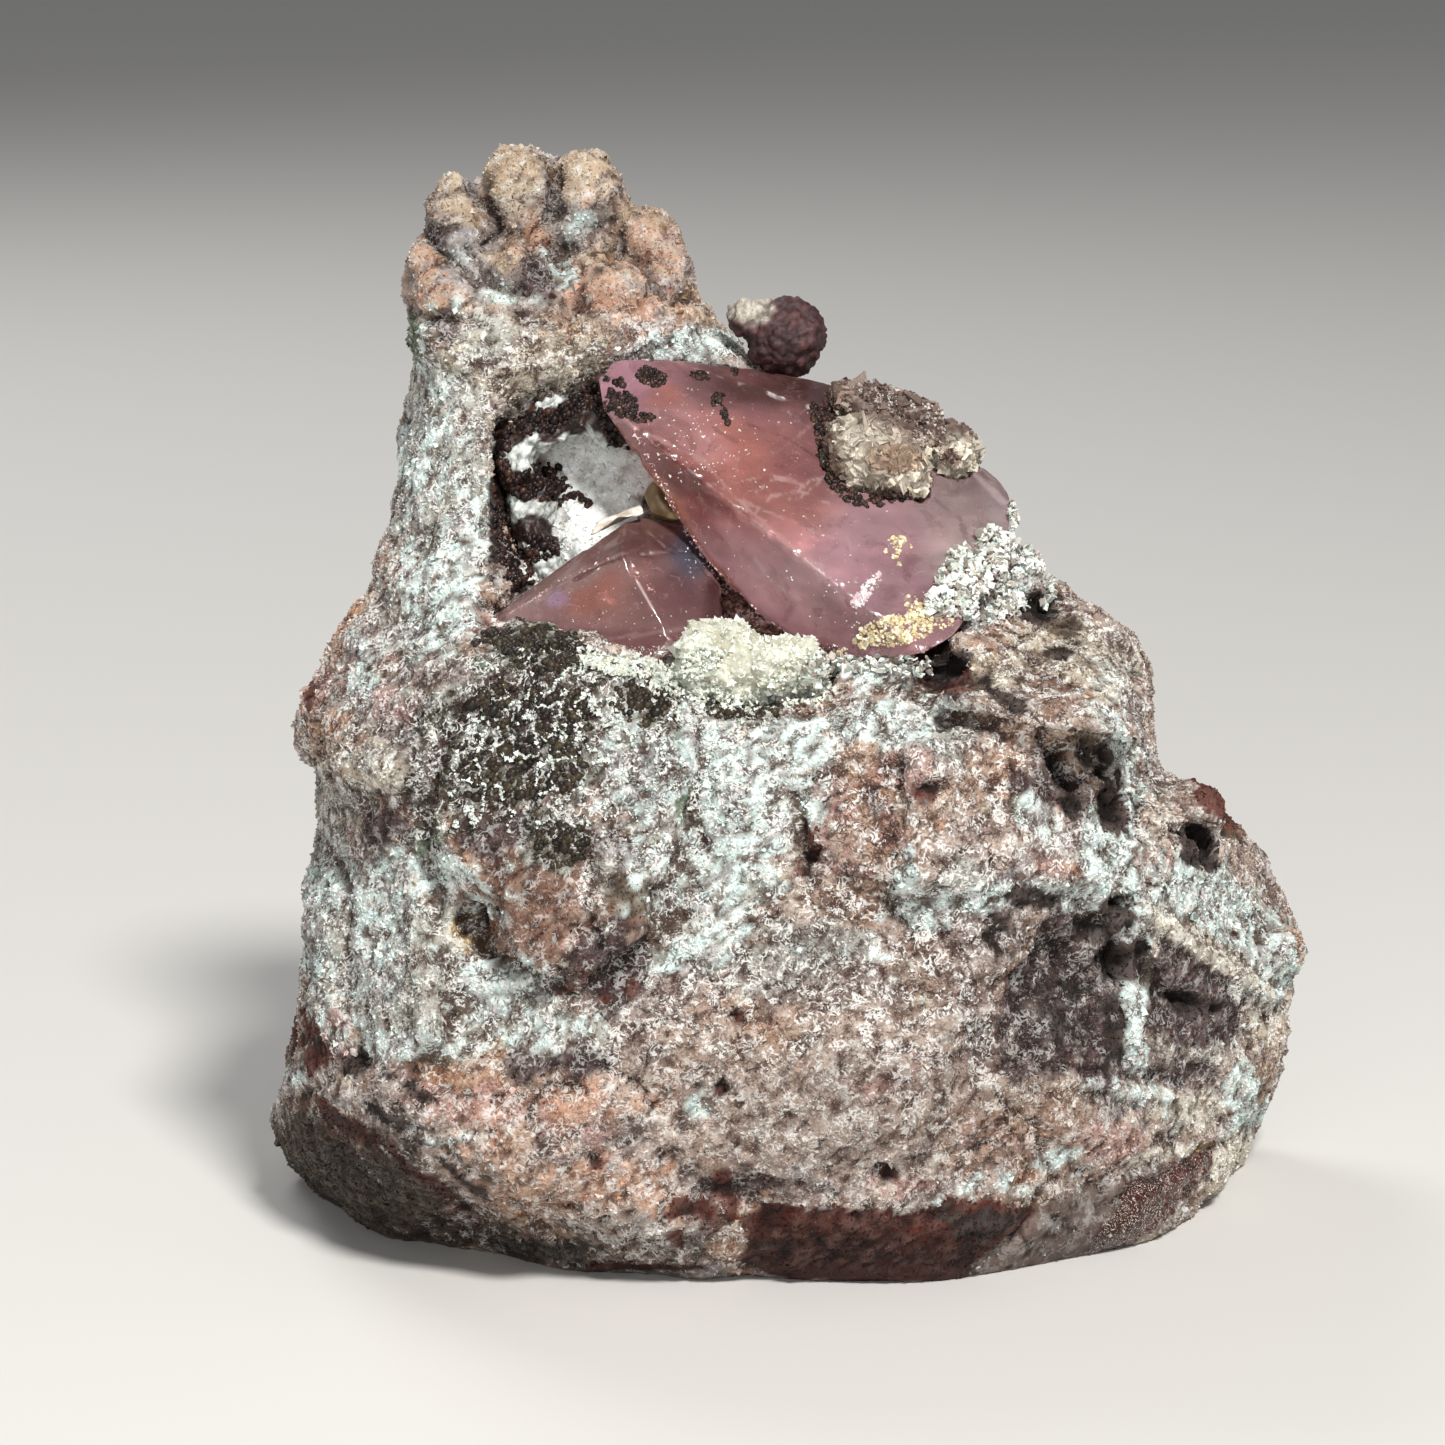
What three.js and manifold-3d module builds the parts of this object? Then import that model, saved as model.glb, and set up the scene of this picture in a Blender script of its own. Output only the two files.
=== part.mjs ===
// A cobaltoan calcite specimen: two pink calcite crystals in a pocket of altered dolomite, with the
// crusts, beads and small crystals that grew around them. Millimetres, +Z up, the display face towards -Y.
import * as THREE from "three";
import { ImprovedNoise } from "three/addons/math/ImprovedNoise.js";
import { ConvexGeometry } from "three/addons/geometries/ConvexGeometry.js";
import { mergeVertices } from "three/addons/utils/BufferGeometryUtils.js";
import Module from "manifold-3d";

// Driving dimensions. The specimen is laid out as it is seen: u to the right, v up and w towards the eye,
// which looks down on it a little from a short way off.
const eyeDistance = 300;
const eyeTilt = THREE.MathUtils.degToRad(12);
const eyeCentre = { u: -2.3, v: 34.8 };
const footDepth = 14; // w of the line where v = 0 meets the table
const clearance = 0.3; // between a crystal or crust and the rock that it sits in
const rockDetail = 12;
const frontShare = 0.66; // of the rock's corners
const rockMiddle = { u: -1, v: 27 };

// The rock's outline as the eye sees it, anticlockwise from the right end of the foot.
const rockOutline = [
  [17.2, -0.6], [21, 0.4], [24.4, 1.6], [27.6, 4.2], [29.2, 7.2], [29.4, 9.8], [31.8, 12.8], [32.6, 15.8],
  [32.2, 18.4], [34.0, 20.6], [32.6, 23.9], [30.8, 26.7], [29.4, 29.0], [27.3, 29.9], [24.9, 31],
  [24.2, 33.7], [23.8, 37.4], [22.3, 40.2], [19.9, 41.3], [18.4, 43.0], [16.2, 43.6], [14.8, 46],
  [13.4, 48], [11.6, 50], [9.8, 51.8], [8.2, 53.2], [5.8, 54.2], [3.2, 55.2], [0, 56.6], [-2.4, 58.6],
  [-3.6, 59.8], [-5.0, 62], [-6.6, 64.4], [-9, 65.4], [-12.6, 66], [-16.4, 65.6], [-20, 64.4],
  [-21.2, 62], [-21.2, 57.2], [-21.0, 54], [-21.8, 51.8], [-21.6, 49.7], [-22.1, 46.8], [-23.8, 44.6],
  [-25.0, 42], [-25.9, 39.3], [-27.4, 37.2], [-27.9, 34.4], [-26.8, 31.6], [-26.4, 27.2], [-27.7, 25.4],
  [-27.9, 22], [-28.4, 18.6], [-28.9, 14.1], [-29.8, 11.6], [-29.6, 9.4], [-27.8, 6.6], [-24, 4],
  [-18.6, 2], [-12, 0.4], [-3.5, -0.5], [6, -0.8],
];

// How far the front, the back and the rim stand towards the eye, from the foot up.
const frontProfile = [[-3, 13.2], [6, 15.2], [16, 15.4], [26, 14.8], [33, 14.2], [36.6, 13.2], [38.8, 10.6],
  [41, 7.6], [45, 5.4], [50, 3.8], [56, 2.8], [62, 1.8], [72, -0.6]];
const backProfile = [[-3, -23.5], [10, -24.5], [28, -22], [44, -17], [56, -13.5], [72, -10]];
const rimProfile = [[-3, -4], [12, -5], [34, -4], [50, -4.5], [72, -5]];
const rimTurn = { beyond: 17, fall: 0.55 }; // the rim runs back along the right flank

// Raised and sunken fields of the front: a height, how soft the edge is, and an outline.
const fields = {
  copperBed: { height: 0.8, soft: 1.0, outline: [[-20.6, 39.4], [-16, 40.6], [-11, 39.6], [-5.4, 37.6],
    [-3.7, 30], [-4.6, 24], [-11, 21], [-15.6, 22], [-19, 25.4], [-21.4, 31]] },
  centreBed: { height: 0.8, soft: 1.0, outline: [[-3.0, 31], [3, 33.6], [7, 36.4], [11, 36], [17, 37],
    [22, 35], [22.4, 25], [14, 23.4], [8.4, 22.6], [2.6, 24.4], [-2.6, 25.4]] },
  leftLower: { height: -2.0, soft: 1.2, outline: [[-27, 26], [-20.6, 27.6], [-18, 22.6], [-14.6, 17],
    [-19, 12.6], [-30, 12]] },
  darkHollow: { height: -2.2, soft: 1.8, outline: [[13.2, 18.6], [17, 22], [22.6, 23.4], [22.6, 15],
    [17.2, 13.2], [12.4, 15]] },
  underCrystal: { height: -4.4, soft: 1.2, outline: [[-6.4, 42.0], [-1.2, 44.6], [5.4, 41.4],
    [4.8, 37.2], [-0.6, 35.6], [-5.2, 37.6]] },
  crystalPocket: { height: -3.6, soft: 0.7, outline: [[-16.2, 52.4], [-12.4, 54.2], [-7.6, 55.4],
    [-3, 50], [-6, 43.6], [-13.0, 43.2], [-15.6, 46.6]] },
  shoulder: { height: 2.4, soft: 1.0, outline: [[8.4, 39.6], [11, 41.4], [15.2, 43.0], [20, 41.8],
    [25, 37], [25, 32.0], [19, 33.6], [12, 36.6]] },
  upperLeftSlope: { height: 1.9, soft: 2.0, outline: [[-22, 57], [-16, 55.6], [-11, 57.4], [-3, 58.6],
    [-6, 63], [-19, 63.6]] },
  leftWall: { height: 1.4, soft: 1.4, outline: [[-23, 50], [-19.6, 55], [-17.2, 53.0], [-16.8, 46],
    [-14.4, 42], [-19, 40.4], [-24, 43.4]] },
};

// Broad faces that cut across the front: a line, and how steeply the rock falls back beyond it.
const bevels = {
  lowerLeft: { from: [-29.2, 13.4], to: [-3.4, -0.6], fall: 1.5 },
  lowerRight: { from: [17.4, -0.4], to: [30, 9.6], fall: 1.4 },
  rightFlank: { from: [22.6, 4], to: [23.4, 32], fall: 1.1 },
  leftFlank: { from: [-20.8, 42], to: [-22.4, 14], fall: 0.75 },
  upperRight: { from: [15.6, 30], to: [19.6, 45], fall: 0.55 },
};

// Chipped faces of the whole rock, coarse and fine: how wide the flats are, how far they step and tilt.
const chipFaces = [
  { size: 9.5, step: 0.8, tilt: 1.5, seed: 3 },
  { size: 4.6, step: 0.3, tilt: 0.6, seed: 8 },
];
const flatEdge = 16; // how sharply one flat gives way to the next

// Ledges and blocks of the rock: how far the face stands out of the rock, how it leans along u and v
// against the rock's own slope, and its outline.
const blocks = [
  { rise: 0.4, lean: [0.1, 0.0], outline: [[-20.4, 38.2], [-15, 39.6], [-11.6, 37.6], [-11.2, 28],
    [-15.4, 24], [-19.2, 26.6], [-21.0, 32]] },
  { rise: 0.7, lean: [-0.05, -0.05], outline: [[-14, 39.4], [-8, 38.2], [-5.0, 36.0], [-4.2, 30],
    [-6, 25.6], [-11, 23.4], [-13.6, 30]] },
  { rise: 1.3, lean: [0.08, 0.1], outline: [[-15.6, 27], [-12, 28.4], [-7.6, 27.2], [-6.9, 22],
    [-10.8, 18.9], [-14.2, 19.2], [-15.8, 22.8]] },
  { rise: 0.5, lean: [0.14, -0.08], outline: [[2.8, 33.2], [6.4, 35.2], [10.6, 34.6], [10.4, 26],
    [8.8, 24.2], [6.0, 25.4], [3.0, 28.4]] },
  { rise: 0.7, lean: [-0.1, 0.06], outline: [[9.4, 33.6], [13, 34.2], [16.8, 34.8], [20.4, 30.6],
    [20.8, 25.2], [14, 24.4], [9.2, 25.4]] },
  { rise: 0.3, lean: [0.04, 0.1], outline: [[-5.6, 22.0], [2, 23.8], [8, 21.4], [12.6, 17], [9.6, 12.6],
    [1, 9.4], [-7, 14.6]] },
  { rise: 0.5, lean: [0.25, 0.0], outline: [[-27.0, 24], [-23, 26.6], [-20.4, 22], [-19.8, 15.4],
    [-25, 13.4], [-27.4, 17]] },
  { rise: 0.5, lean: [-0.2, 0.1], outline: [[24.2, 29.4], [28.0, 28.0], [30.6, 23], [30.0, 18.2],
    [25.6, 17.0], [23.6, 22]] },
  { rise: 0.4, lean: [0.1, -0.1], outline: [[9, 38.4], [13, 41.2], [18.6, 40.6], [22.4, 37.4],
    [22.2, 34.2], [17.4, 34.6], [12, 36]] },
  { rise: 0.4, lean: [0.1, 0.0], outline: [[-20.4, 56.0], [-17.4, 57.4], [-16.6, 52.8], [-17, 47],
    [-19.6, 44.6], [-20.8, 50]] },
  { rise: 0.5, lean: [0.0, -0.1], outline: [[-20.0, 61.6], [-8, 61.4], [-5.6, 59], [-9.4, 56.6],
    [-16, 55.8], [-20.2, 57.4]] },
  { rise: 0.4, lean: [-0.1, 0.2], outline: [[-24.6, 41.4], [-20, 43.6], [-17.6, 41.6], [-20.4, 37.6],
    [-21.8, 31], [-26, 32.4], [-26.4, 37]] },
];
const blockSpread = 1.3; // how much wider a block is at its root than at its face
const blockRoot = 4.5;

// Lumps that stand on the rock, and pits in it: place, half sizes along u, v and w, and a turn in degrees.
const crestLumps = [
  { at: [-18.7, 65.6, -1.8], size: [1.9, 2.9, 2.4], turn: 8, square: 0.1 },
  { at: [-18.3, 63.0, 0.6], size: [2.3, 2.2, 2.2], turn: 20, square: 0.3 },
  { at: [-14.5, 66.4, -2.4], size: [2.6, 3.5, 2.8], turn: -6, square: 0.6 },
  { at: [-10.3, 66.5, -2.2], size: [2.3, 3.5, 2.8], turn: 5, square: 0.7 },
  { at: [-6.7, 62.8, -2.6], size: [2.6, 3.5, 3.2], turn: 20, square: 0.3 },
  { at: [-20.1, 62.4, -1.4], size: [1.8, 2.5, 2.6], turn: -10, square: 0.3 },
  { at: [-19.2, 59.6, 1.2], size: [2.1, 1.6, 2.0], turn: 4, square: 0.4 },
  { at: [-14.2, 62.0, 1.4], size: [1.9, 2.3, 2.1], turn: 12, square: 0.3 },
  { at: [-9.6, 61.6, 1.5], size: [2.5, 2.1, 2.1], turn: -14, square: 0.4 },
  { at: [-10.8, 58.6, 2.6], size: [2.8, 1.8, 1.9], turn: 10, square: 0.4 },
  { at: [-6.0, 59.3, 0.6], size: [2.6, 1.9, 2.2], turn: -30, square: 0.3 },
];
const edgeLumps = [
  { at: [-25.7, 34.8, -1.0], size: [2.6, 3.0, 4.6], turn: -14, square: 0.5 },
  { at: [19.9, 39.0, 1.4], size: [3.0, 2.6, 4.2], turn: -35, square: 0.6 },
  { at: [30.6, 20.6, -8.6], size: [3.0, 2.0, 4.2], turn: 10, square: 0.1 },
  { at: [15.3, 43.2, 2.2], size: [2.3, 2.4, 3.0], turn: 20, square: 0.3 },
  { at: [13.4, 38.6, 11.0], size: [2.7, 1.7, 2.2], turn: -20, square: 0.4 },
  { at: [17.2, 37.0, 9.8], size: [2.5, 1.6, 2.4], turn: -30, square: 0.5 },
  { at: [25.6, 29.4, -1.6], size: [2.8, 2.0, 3.8], turn: -25, square: 0.4 },
];
const pits = [
  { at: [11.4, 37.9, 14.6], size: [1.9, 1.5, 2.8], turn: 20 },
  { at: [19.0, 32.6, 13.4], size: [1.3, 1.8, 3.0], turn: 30 },
  { at: [21.4, 29.6, 13.0], size: [1.1, 2.4, 3.2], turn: 8 },
  { at: [20.8, 23.0, 12.6], size: [1.8, 1.5, 3.2], turn: -20 },
  { at: [26.4, 17.6, 6.6], size: [1.9, 1.3, 2.4], turn: 10 },
  { at: [-17.6, 22.4, 13.6], size: [1.2, 1.8, 3.0], turn: 25 },
  { at: [27.2, 28.0, 1.6], size: [1.6, 1.1, 2.6], turn: -20 },
];
const lumpDetail = 1;

// The flat faces of the pink crystals, each through three points, and the corners seen on each face.
// The corners behind are out of sight, in the rock.
const largeFaces = {
  main: { through: [[-7.9, 53.0, 7.0], [4.2, 43.6, 11.0], [15.0, 48.5, 5.5]],
    corners: [[-9.9, 55.8], [-9.4, 56.7], [-8.3, 57.1], [-5.6, 57.1], [4.0, 53.3], [9.0, 52.2],
      [13.0, 50.9], [15.0, 49.3], [15.8, 47.2], [14.9, 44.2], [11.9, 40.2], [10.1, 39.0], [-7.9, 53.0]] },
  left: { through: [[-7.9, 53.0, 7.0], [4.2, 43.6, 11.0], [-1.5, 42.6, 6.6]],
    corners: [[-9.6, 54.0], [-4.9, 47.2], [-3.4, 44.9], [-1.5, 42.7], [0.3, 41.2], [2.5, 39.7],
      [4.9, 38.9], [7.7, 38.7]] },
  top: { through: [[-5.6, 57.1, 3.7], [4.0, 53.3, 4.42], [0.0, 56.5, 1.6]],
    corners: [[0.0, 56.5], [5.7, 55.3], [10.7, 53.0]] },
};
const largeBehind = [
  [-7.4, 55.6, 2.0], [1.0, 55.4, -1.6], [9.0, 53.2, -2.0], [14.4, 49.4, -1.0], [15.0, 45.2, 0.4],
  [11.9, 41.0, 4.0], [5.0, 40.6, 4.0], [-0.6, 44.6, 2.4], [-4.6, 49.6, 2.2],
];
const smallFaces = {
  front: { through: [[-16.4, 40.8, 8.0], [-8.5, 45.2, 9.4], [-5.4, 39.8, 11.2]],
    corners: [[-16.5, 40.9], [-8.5, 45.2], [-5.4, 39.8], [-15.6, 40.2], [-11.3, 39.2], [-9.8, 38.8],
      [-6.7, 38.5]] },
  right: { through: [[-8.5, 45.2, 9.4], [-5.4, 39.8, 11.2], [-2.6, 45.4, 4.6]],
    corners: [[-2.6, 45.4], [-2.2, 40.8], [-4.3, 39.2]] },
  upperLeft: { through: [[-16.4, 40.8, 8.0], [-8.5, 45.2, 9.4], [-8.3, 47.1, 5.6]],
    corners: [[-16.2, 41.5], [-13.8, 43.2], [-11.7, 44.8], [-8.3, 47.1]] },
};
const smallBehind = [
  [-7.2, 47.4, 4.4], [-4.2, 47.0, 3.6], [-12.6, 42.6, 3.6], [-8.0, 45.6, 1.0], [-3.6, 44.4, 1.0],
  [-4.6, 40.6, 3.6], [-10.4, 40.2, 4.4],
];

// The small pieces that grew around the crystals.
const noduleLumps = [
  { at: [1.6, 58.4, -0.6], size: [2.5, 2.4, 2.5], rough: 0.07, square: 0, detail: 2 },
  { at: [-0.6, 59.6, -0.2], size: [1.3, 1.1, 1.2], rough: 0.2, square: 0.4 },
];
const druseLumps = [
  { at: [7.2, 51.1, 5.6], size: [3.2, 2.5, 2.2], turn: -12, rough: 0.22, square: 0.3 },
  { at: [7.6, 53.8, 3.0], size: [3.6, 1.4, 2.4], turn: -14, rough: 0.22, square: 0.3 },
  { at: [11.6, 51.6, 4.0], size: [2.0, 1.5, 2.0], turn: -38, rough: 0.22, square: 0.3 },
];
const creamLumps = [
  { at: [-2.6, 38.5, 10.2], size: [3.2, 2.4, 3.2], turn: 0, rough: 0.24, square: 0.3 },
  { at: [1.2, 38.1, 10.4], size: [2.8, 2.0, 3.0], turn: 12, rough: 0.24, square: 0.3 },
];
const crustLumps = [
  { at: [-8.6, 53.0, 3.0], size: [2.2, 1.4, 2.0], turn: 30 },
  { at: [-10.8, 53.8, 2.6], size: [2.1, 1.5, 1.9], turn: -10 },
  { at: [-13.2, 52.8, 2.2], size: [2.2, 1.6, 1.9], turn: 35 },
  { at: [-14.9, 50.6, 2.0], size: [1.5, 2.4, 1.9], turn: 10 },
  { at: [-14.0, 48.0, 1.5], size: [1.8, 2.2, 1.8], turn: -20 },
  { at: [-13.4, 45.0, 2.4], size: [1.5, 1.9, 1.8], turn: 20 },
].map((l) => ({ ...l, rough: 0.34, square: 0.2 }));
const tanLump = { at: [-5.4, 48.5, 3.8], size: [1.5, 1.4, 1.6], turn: 20, rough: 0.06, square: 0.7 };
const bladeCorners = [
  [-10.5, 46.2, 6.2], [-9.9, 47.2, 6.0], [-7.3, 48.2, 5.4], [-7.1, 47.6, 5.8],
  [-10.3, 46.4, 4.0], [-9.7, 47.1, 3.6], [-7.6, 48.0, 3.4], [-7.2, 47.7, 3.6],
];

const noise = new ImprovedNoise();
const wasm = await Module();
wasm.setup();

// Three octaves of smooth noise, about -1 to 1, with features of the given size.
function grain(p, size, seed = 0) {
  let sum = 0;
  for (let octave = 0; octave < 3; octave++) {
    const f = 2 ** octave / size;
    sum += noise.noise(p.x * f + seed, p.y * f + seed * 1.7, p.z * f - seed) / 2 ** octave;
  }
  return sum;
}

// A repeatable number from 0 to 1 for a cell of a lattice.
function scatter(x, y, z, k) {
  const s = Math.sin(x * 127.1 + y * 311.7 + z * 74.7 + k * 53.3) * 43758.5453;
  return s - Math.floor(s);
}

// How far the chipped flats stand in or out at a point. Each cell has a flat of its own.
function chipped(p, { size, step, tilt, seed }) {
  const [px, py, pz] = [p.x / size, p.y / size, p.z / size];
  const cells = [];
  for (let x = Math.floor(px) - 1; x <= Math.floor(px) + 1; x++) {
    for (let y = Math.floor(py) - 1; y <= Math.floor(py) + 1; y++) {
      for (let z = Math.floor(pz) - 1; z <= Math.floor(pz) + 1; z++) {
        const [a, b, c] = [1, 2, 3].map((k) => scatter(x, y, z, seed + k));
        const [dx, dy, dz] = [px - x - a, py - y - b, pz - z - c];
        const [ta, tb, tc, off] = [4, 5, 6, 7].map((k) => scatter(x, y, z, seed + k) * 2 - 1);
        cells.push({ far: Math.hypot(dx, dy, dz), out: off * step + (ta * dx + tb * dy + tc * dz) * tilt });
      }
    }
  }
  const nearest = Math.min(...cells.map((c) => c.far));
  let [sum, weights] = [0, 0];
  for (const { far, out } of cells) {
    const weight = Math.exp(-flatEdge * (far - nearest));
    sum += weight * out;
    weights += weight;
  }
  return sum / weights;
}

// From where a thing is seen (u, v) and how near it is (w) to where it stands, upright on the table.
function place(u, v, w) {
  const shrink = (eyeDistance - w) / eyeDistance;
  const x = eyeCentre.u + (u - eyeCentre.u) * shrink;
  const up = eyeCentre.v + (v - eyeCentre.v) * shrink;
  const near = w - footDepth;
  return new THREE.Vector3(
    x,
    up * Math.sin(eyeTilt) - near * Math.cos(eyeTilt),
    up * Math.cos(eyeTilt) + near * Math.sin(eyeTilt),
  );
}

// Where the line of sight through (u, v) meets a plane.
function seenOn(plane, u, v) {
  const line = new THREE.Line3(place(u, v, 60), place(u, v, -60));
  return plane.intersectLine(line, new THREE.Vector3());
}

function between(profile, at) {
  const i = Math.min(Math.max(profile.findIndex(([a]) => a >= at), 1), profile.length - 1);
  const [a, b] = [profile[i - 1], profile[i]];
  return THREE.MathUtils.mapLinear(THREE.MathUtils.clamp(at, a[0], b[0]), a[0], b[0], a[1], b[1]);
}

// Distance of a point inside a closed outline from its nearest side, negative outside.
function depthInside(outline, u, v) {
  let nearest = Infinity;
  let inside = false;
  outline.forEach(([bu, bv], i) => {
    const [au, av] = outline[(i + outline.length - 1) % outline.length];
    const [du, dv] = [bu - au, bv - av];
    const along = THREE.MathUtils.clamp(((u - au) * du + (v - av) * dv) / (du * du + dv * dv), 0, 1);
    nearest = Math.min(nearest, Math.hypot(u - au - along * du, v - av - along * dv));
    if (av > v !== bv > v && u < au + ((v - av) / dv) * du) inside = !inside;
  });
  return inside ? nearest : -nearest;
}

// How far the rock's outline lies from its middle in a direction.
function outlineReach(angle) {
  const [cu, cv] = [Math.cos(angle), Math.sin(angle)];
  let reach = 0;
  rockOutline.forEach(([bu, bv], i) => {
    const [au, av] = rockOutline[(i + rockOutline.length - 1) % rockOutline.length];
    const [pu, pv, du, dv] = [au - rockMiddle.u, av - rockMiddle.v, bu - au, bv - av];
    const across = cu * dv - cv * du;
    const along = (pu * cv - pv * cu) / across;
    const far = (pu * dv - pv * du) / across;
    if (along >= 0 && along <= 1 && far > reach) reach = far;
  });
  return reach;
}

const rimDepth = (u, v) => between(rimProfile, v) - rimTurn.fall * Math.max(u - rimTurn.beyond, 0);

function frontDepth(u, v) {
  let w = between(frontProfile, v);
  for (const { height, soft, outline } of Object.values(fields)) {
    w += height * THREE.MathUtils.smoothstep(depthInside(outline, u, v), -soft / 2, soft);
  }
  for (const { from, to, fall } of Object.values(bevels)) {
    const [du, dv] = [to[0] - from[0], to[1] - from[1]];
    const beyond = ((u - from[0]) * dv - (v - from[1]) * du) / Math.hypot(du, dv);
    w -= fall * (Math.hypot(Math.max(beyond + 1, 0), 0.6) - 0.6);
  }
  return w;
}

// The front of the rock before it is chipped: between the rim and the front depth, rounded at the rim.
function surfaceAt(u, v) {
  const [du, dv] = [u - rockMiddle.u, v - rockMiddle.v];
  const out = Math.min(Math.hypot(du, dv) / outlineReach(Math.atan2(dv, du)), 0.98);
  const rim = rimDepth(u, v);
  return rim + (frontDepth(u, v) - rim) * (1 - out ** 4) ** 0.25;
}

// A closed profile from the middle of the front to the rim: share of the reach, share of the depth.
const profileSteps = 60;
const pillow = Array.from({ length: profileSteps + 1 }, (_, i) => {
  const turn = (i / profileSteps) * (Math.PI / 2);
  return { out: Math.sin(turn) ** 0.5, deep: Math.cos(turn) ** 0.5, area: 0 };
});
for (let i = 1; i <= profileSteps; i++) {
  const [a, b] = [pillow[i - 1], pillow[i]];
  const step = Math.hypot(b.out - a.out, (b.deep - a.deep) * 0.62);
  b.area = a.area + step * (a.out + b.out);
}

function pillowAt(share) {
  const area = share * pillow[profileSteps].area;
  const i = Math.max(pillow.findIndex((p) => p.area >= area), 1);
  const [a, b] = [pillow[i - 1], pillow[i]];
  const t = (area - a.area) / (b.area - a.area);
  return [THREE.MathUtils.lerp(a.out, b.out, t), THREE.MathUtils.lerp(a.deep, b.deep, t)];
}

function solidOf(geometry) {
  const bare = geometry.index ? geometry.toNonIndexed() : geometry.clone();
  bare.deleteAttribute("normal");
  bare.deleteAttribute("uv");
  const merged = mergeVertices(bare, 1e-4);
  return new wasm.Manifold(
    new wasm.Mesh({
      numProp: 3,
      vertProperties: new Float32Array(merged.attributes.position.array),
      triVerts: new Uint32Array(merged.index.array),
    }),
  );
}

function geometryOf(solid) {
  const mesh = solid.getMesh();
  const points = new Float32Array((mesh.vertProperties.length / mesh.numProp) * 3);
  for (let i = 0; i < points.length / 3; i++) {
    points.set(mesh.vertProperties.subarray(i * mesh.numProp, i * mesh.numProp + 3), i * 3);
  }
  const geometry = new THREE.BufferGeometry();
  geometry.setAttribute("position", new THREE.BufferAttribute(points, 3));
  geometry.setIndex(new THREE.BufferAttribute(new Uint32Array(mesh.triVerts), 1));
  const flat = geometry.toNonIndexed();
  flat.computeVertexNormals();
  return flat;
}

const upright = new THREE.Matrix4().makeRotationX(Math.PI / 2 - eyeTilt);

// The chunk of rock before its lumps and pits: a sphere's corners drawn out to the outline and depths.
function rockChunk() {
  const geometry = new THREE.IcosahedronGeometry(1, rockDetail);
  const corners = geometry.attributes.position;
  const d = new THREE.Vector3();
  const outward = new THREE.Vector3();
  for (let i = 0; i < corners.count; i++) {
    d.fromBufferAttribute(corners, i).normalize();
    const turn = (1 - d.z) / 2;
    const isFront = turn < frontShare;
    const [out, deep] = pillowAt(isFront ? turn / frontShare : (1 - turn) / (1 - frontShare));
    const angle = Math.atan2(d.y, d.x);
    const reach = outlineReach(angle) * out;
    const u = rockMiddle.u + reach * Math.cos(angle);
    const v = rockMiddle.v + reach * Math.sin(angle);
    const rim = rimDepth(u, v);
    const face = isFront ? Math.max(frontDepth(u, v), rim + 1) : between(backProfile, v);
    const p = place(u, v, rim + (face - rim) * deep);
    outward.set(Math.cos(angle) * out ** 3, Math.sin(angle) * out ** 3, (isFront ? 1 : -1) * deep ** 3);
    outward.normalize().applyMatrix4(upright);
    const calm = isFront ? 0.55 + 0.45 * deep : 1.25 - 0.7 * (1 - deep);
    const shift = chipFaces.reduce((sum, chip) => sum + chipped(p, chip), 0) + 0.18 * grain(p, 2.6, 11);
    p.addScaledVector(outward, calm * shift);
    corners.setXYZ(i, p.x, p.y, p.z);
  }
  return solidOf(geometry);
}

// A rough lump or pit. square runs from 0, round, to 1, blocky. grow makes it larger all round.
function lump({ at, size, turn = 0, square = 0.2, rough = 0.2, detail = lumpDetail }, grow = 0) {
  const geometry = new THREE.IcosahedronGeometry(1, detail);
  const corners = geometry.attributes.position;
  const d = new THREE.Vector3();
  const middle = place(...at);
  const scale = (eyeDistance - at[2]) / eyeDistance;
  const power = THREE.MathUtils.lerp(2, 5, square);
  for (let i = 0; i < corners.count; i++) {
    d.fromBufferAttribute(corners, i).normalize();
    const blocky = (Math.abs(d.x) ** power + Math.abs(d.y) ** power + Math.abs(d.z) ** power) ** (-1 / power);
    d.multiplyScalar(blocky * (1 + rough * grain(d.clone().add(middle), 0.7, 5)));
    d.set(d.x * (size[0] + grow), d.y * (size[1] + grow), d.z * (size[2] + grow)).multiplyScalar(scale);
    d.applyAxisAngle(new THREE.Vector3(0, 0, 1), THREE.MathUtils.degToRad(turn));
    d.applyMatrix4(upright).add(middle);
    corners.setXYZ(i, d.x, d.y, d.z);
  }
  return solidOf(geometry);
}

// A block from its leaning face back to a wider root inside the rock.
function block({ rise, lean, outline }) {
  const [cu, cv] = [0, 1].map((i) => outline.reduce((sum, c) => sum + c[i], 0) / outline.length);
  const reach = 2;
  const slopeU = lean[0] + (surfaceAt(cu + reach, cv) - surfaceAt(cu - reach, cv)) / (2 * reach);
  const slopeV = lean[1] + (surfaceAt(cu, cv + reach) - surfaceAt(cu, cv - reach)) / (2 * reach);
  const corners = outline.flatMap(([u, v]) => {
    const face = surfaceAt(cu, cv) + rise + slopeU * (u - cu) + slopeV * (v - cv);
    const root = [cu + (u - cu) * blockSpread, cv + (v - cv) * blockSpread];
    return [place(u, v, face), place(...root, face - blockRoot)];
  });
  return solidOf(new ConvexGeometry(corners));
}

const joined = (solids) => solids.reduce((a, b) => a.add(b));

// All corners of a crystal, from its flat faces and the corners behind.
function cornersOf(faces, behind) {
  const seen = Object.values(faces).flatMap(({ through, corners }) => {
    const plane = new THREE.Plane().setFromCoplanarPoints(...through.map((c) => place(...c)));
    return corners.map(([u, v]) => seenOn(plane, u, v));
  });
  return [...seen, ...behind.map((c) => place(...c))];
}

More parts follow.
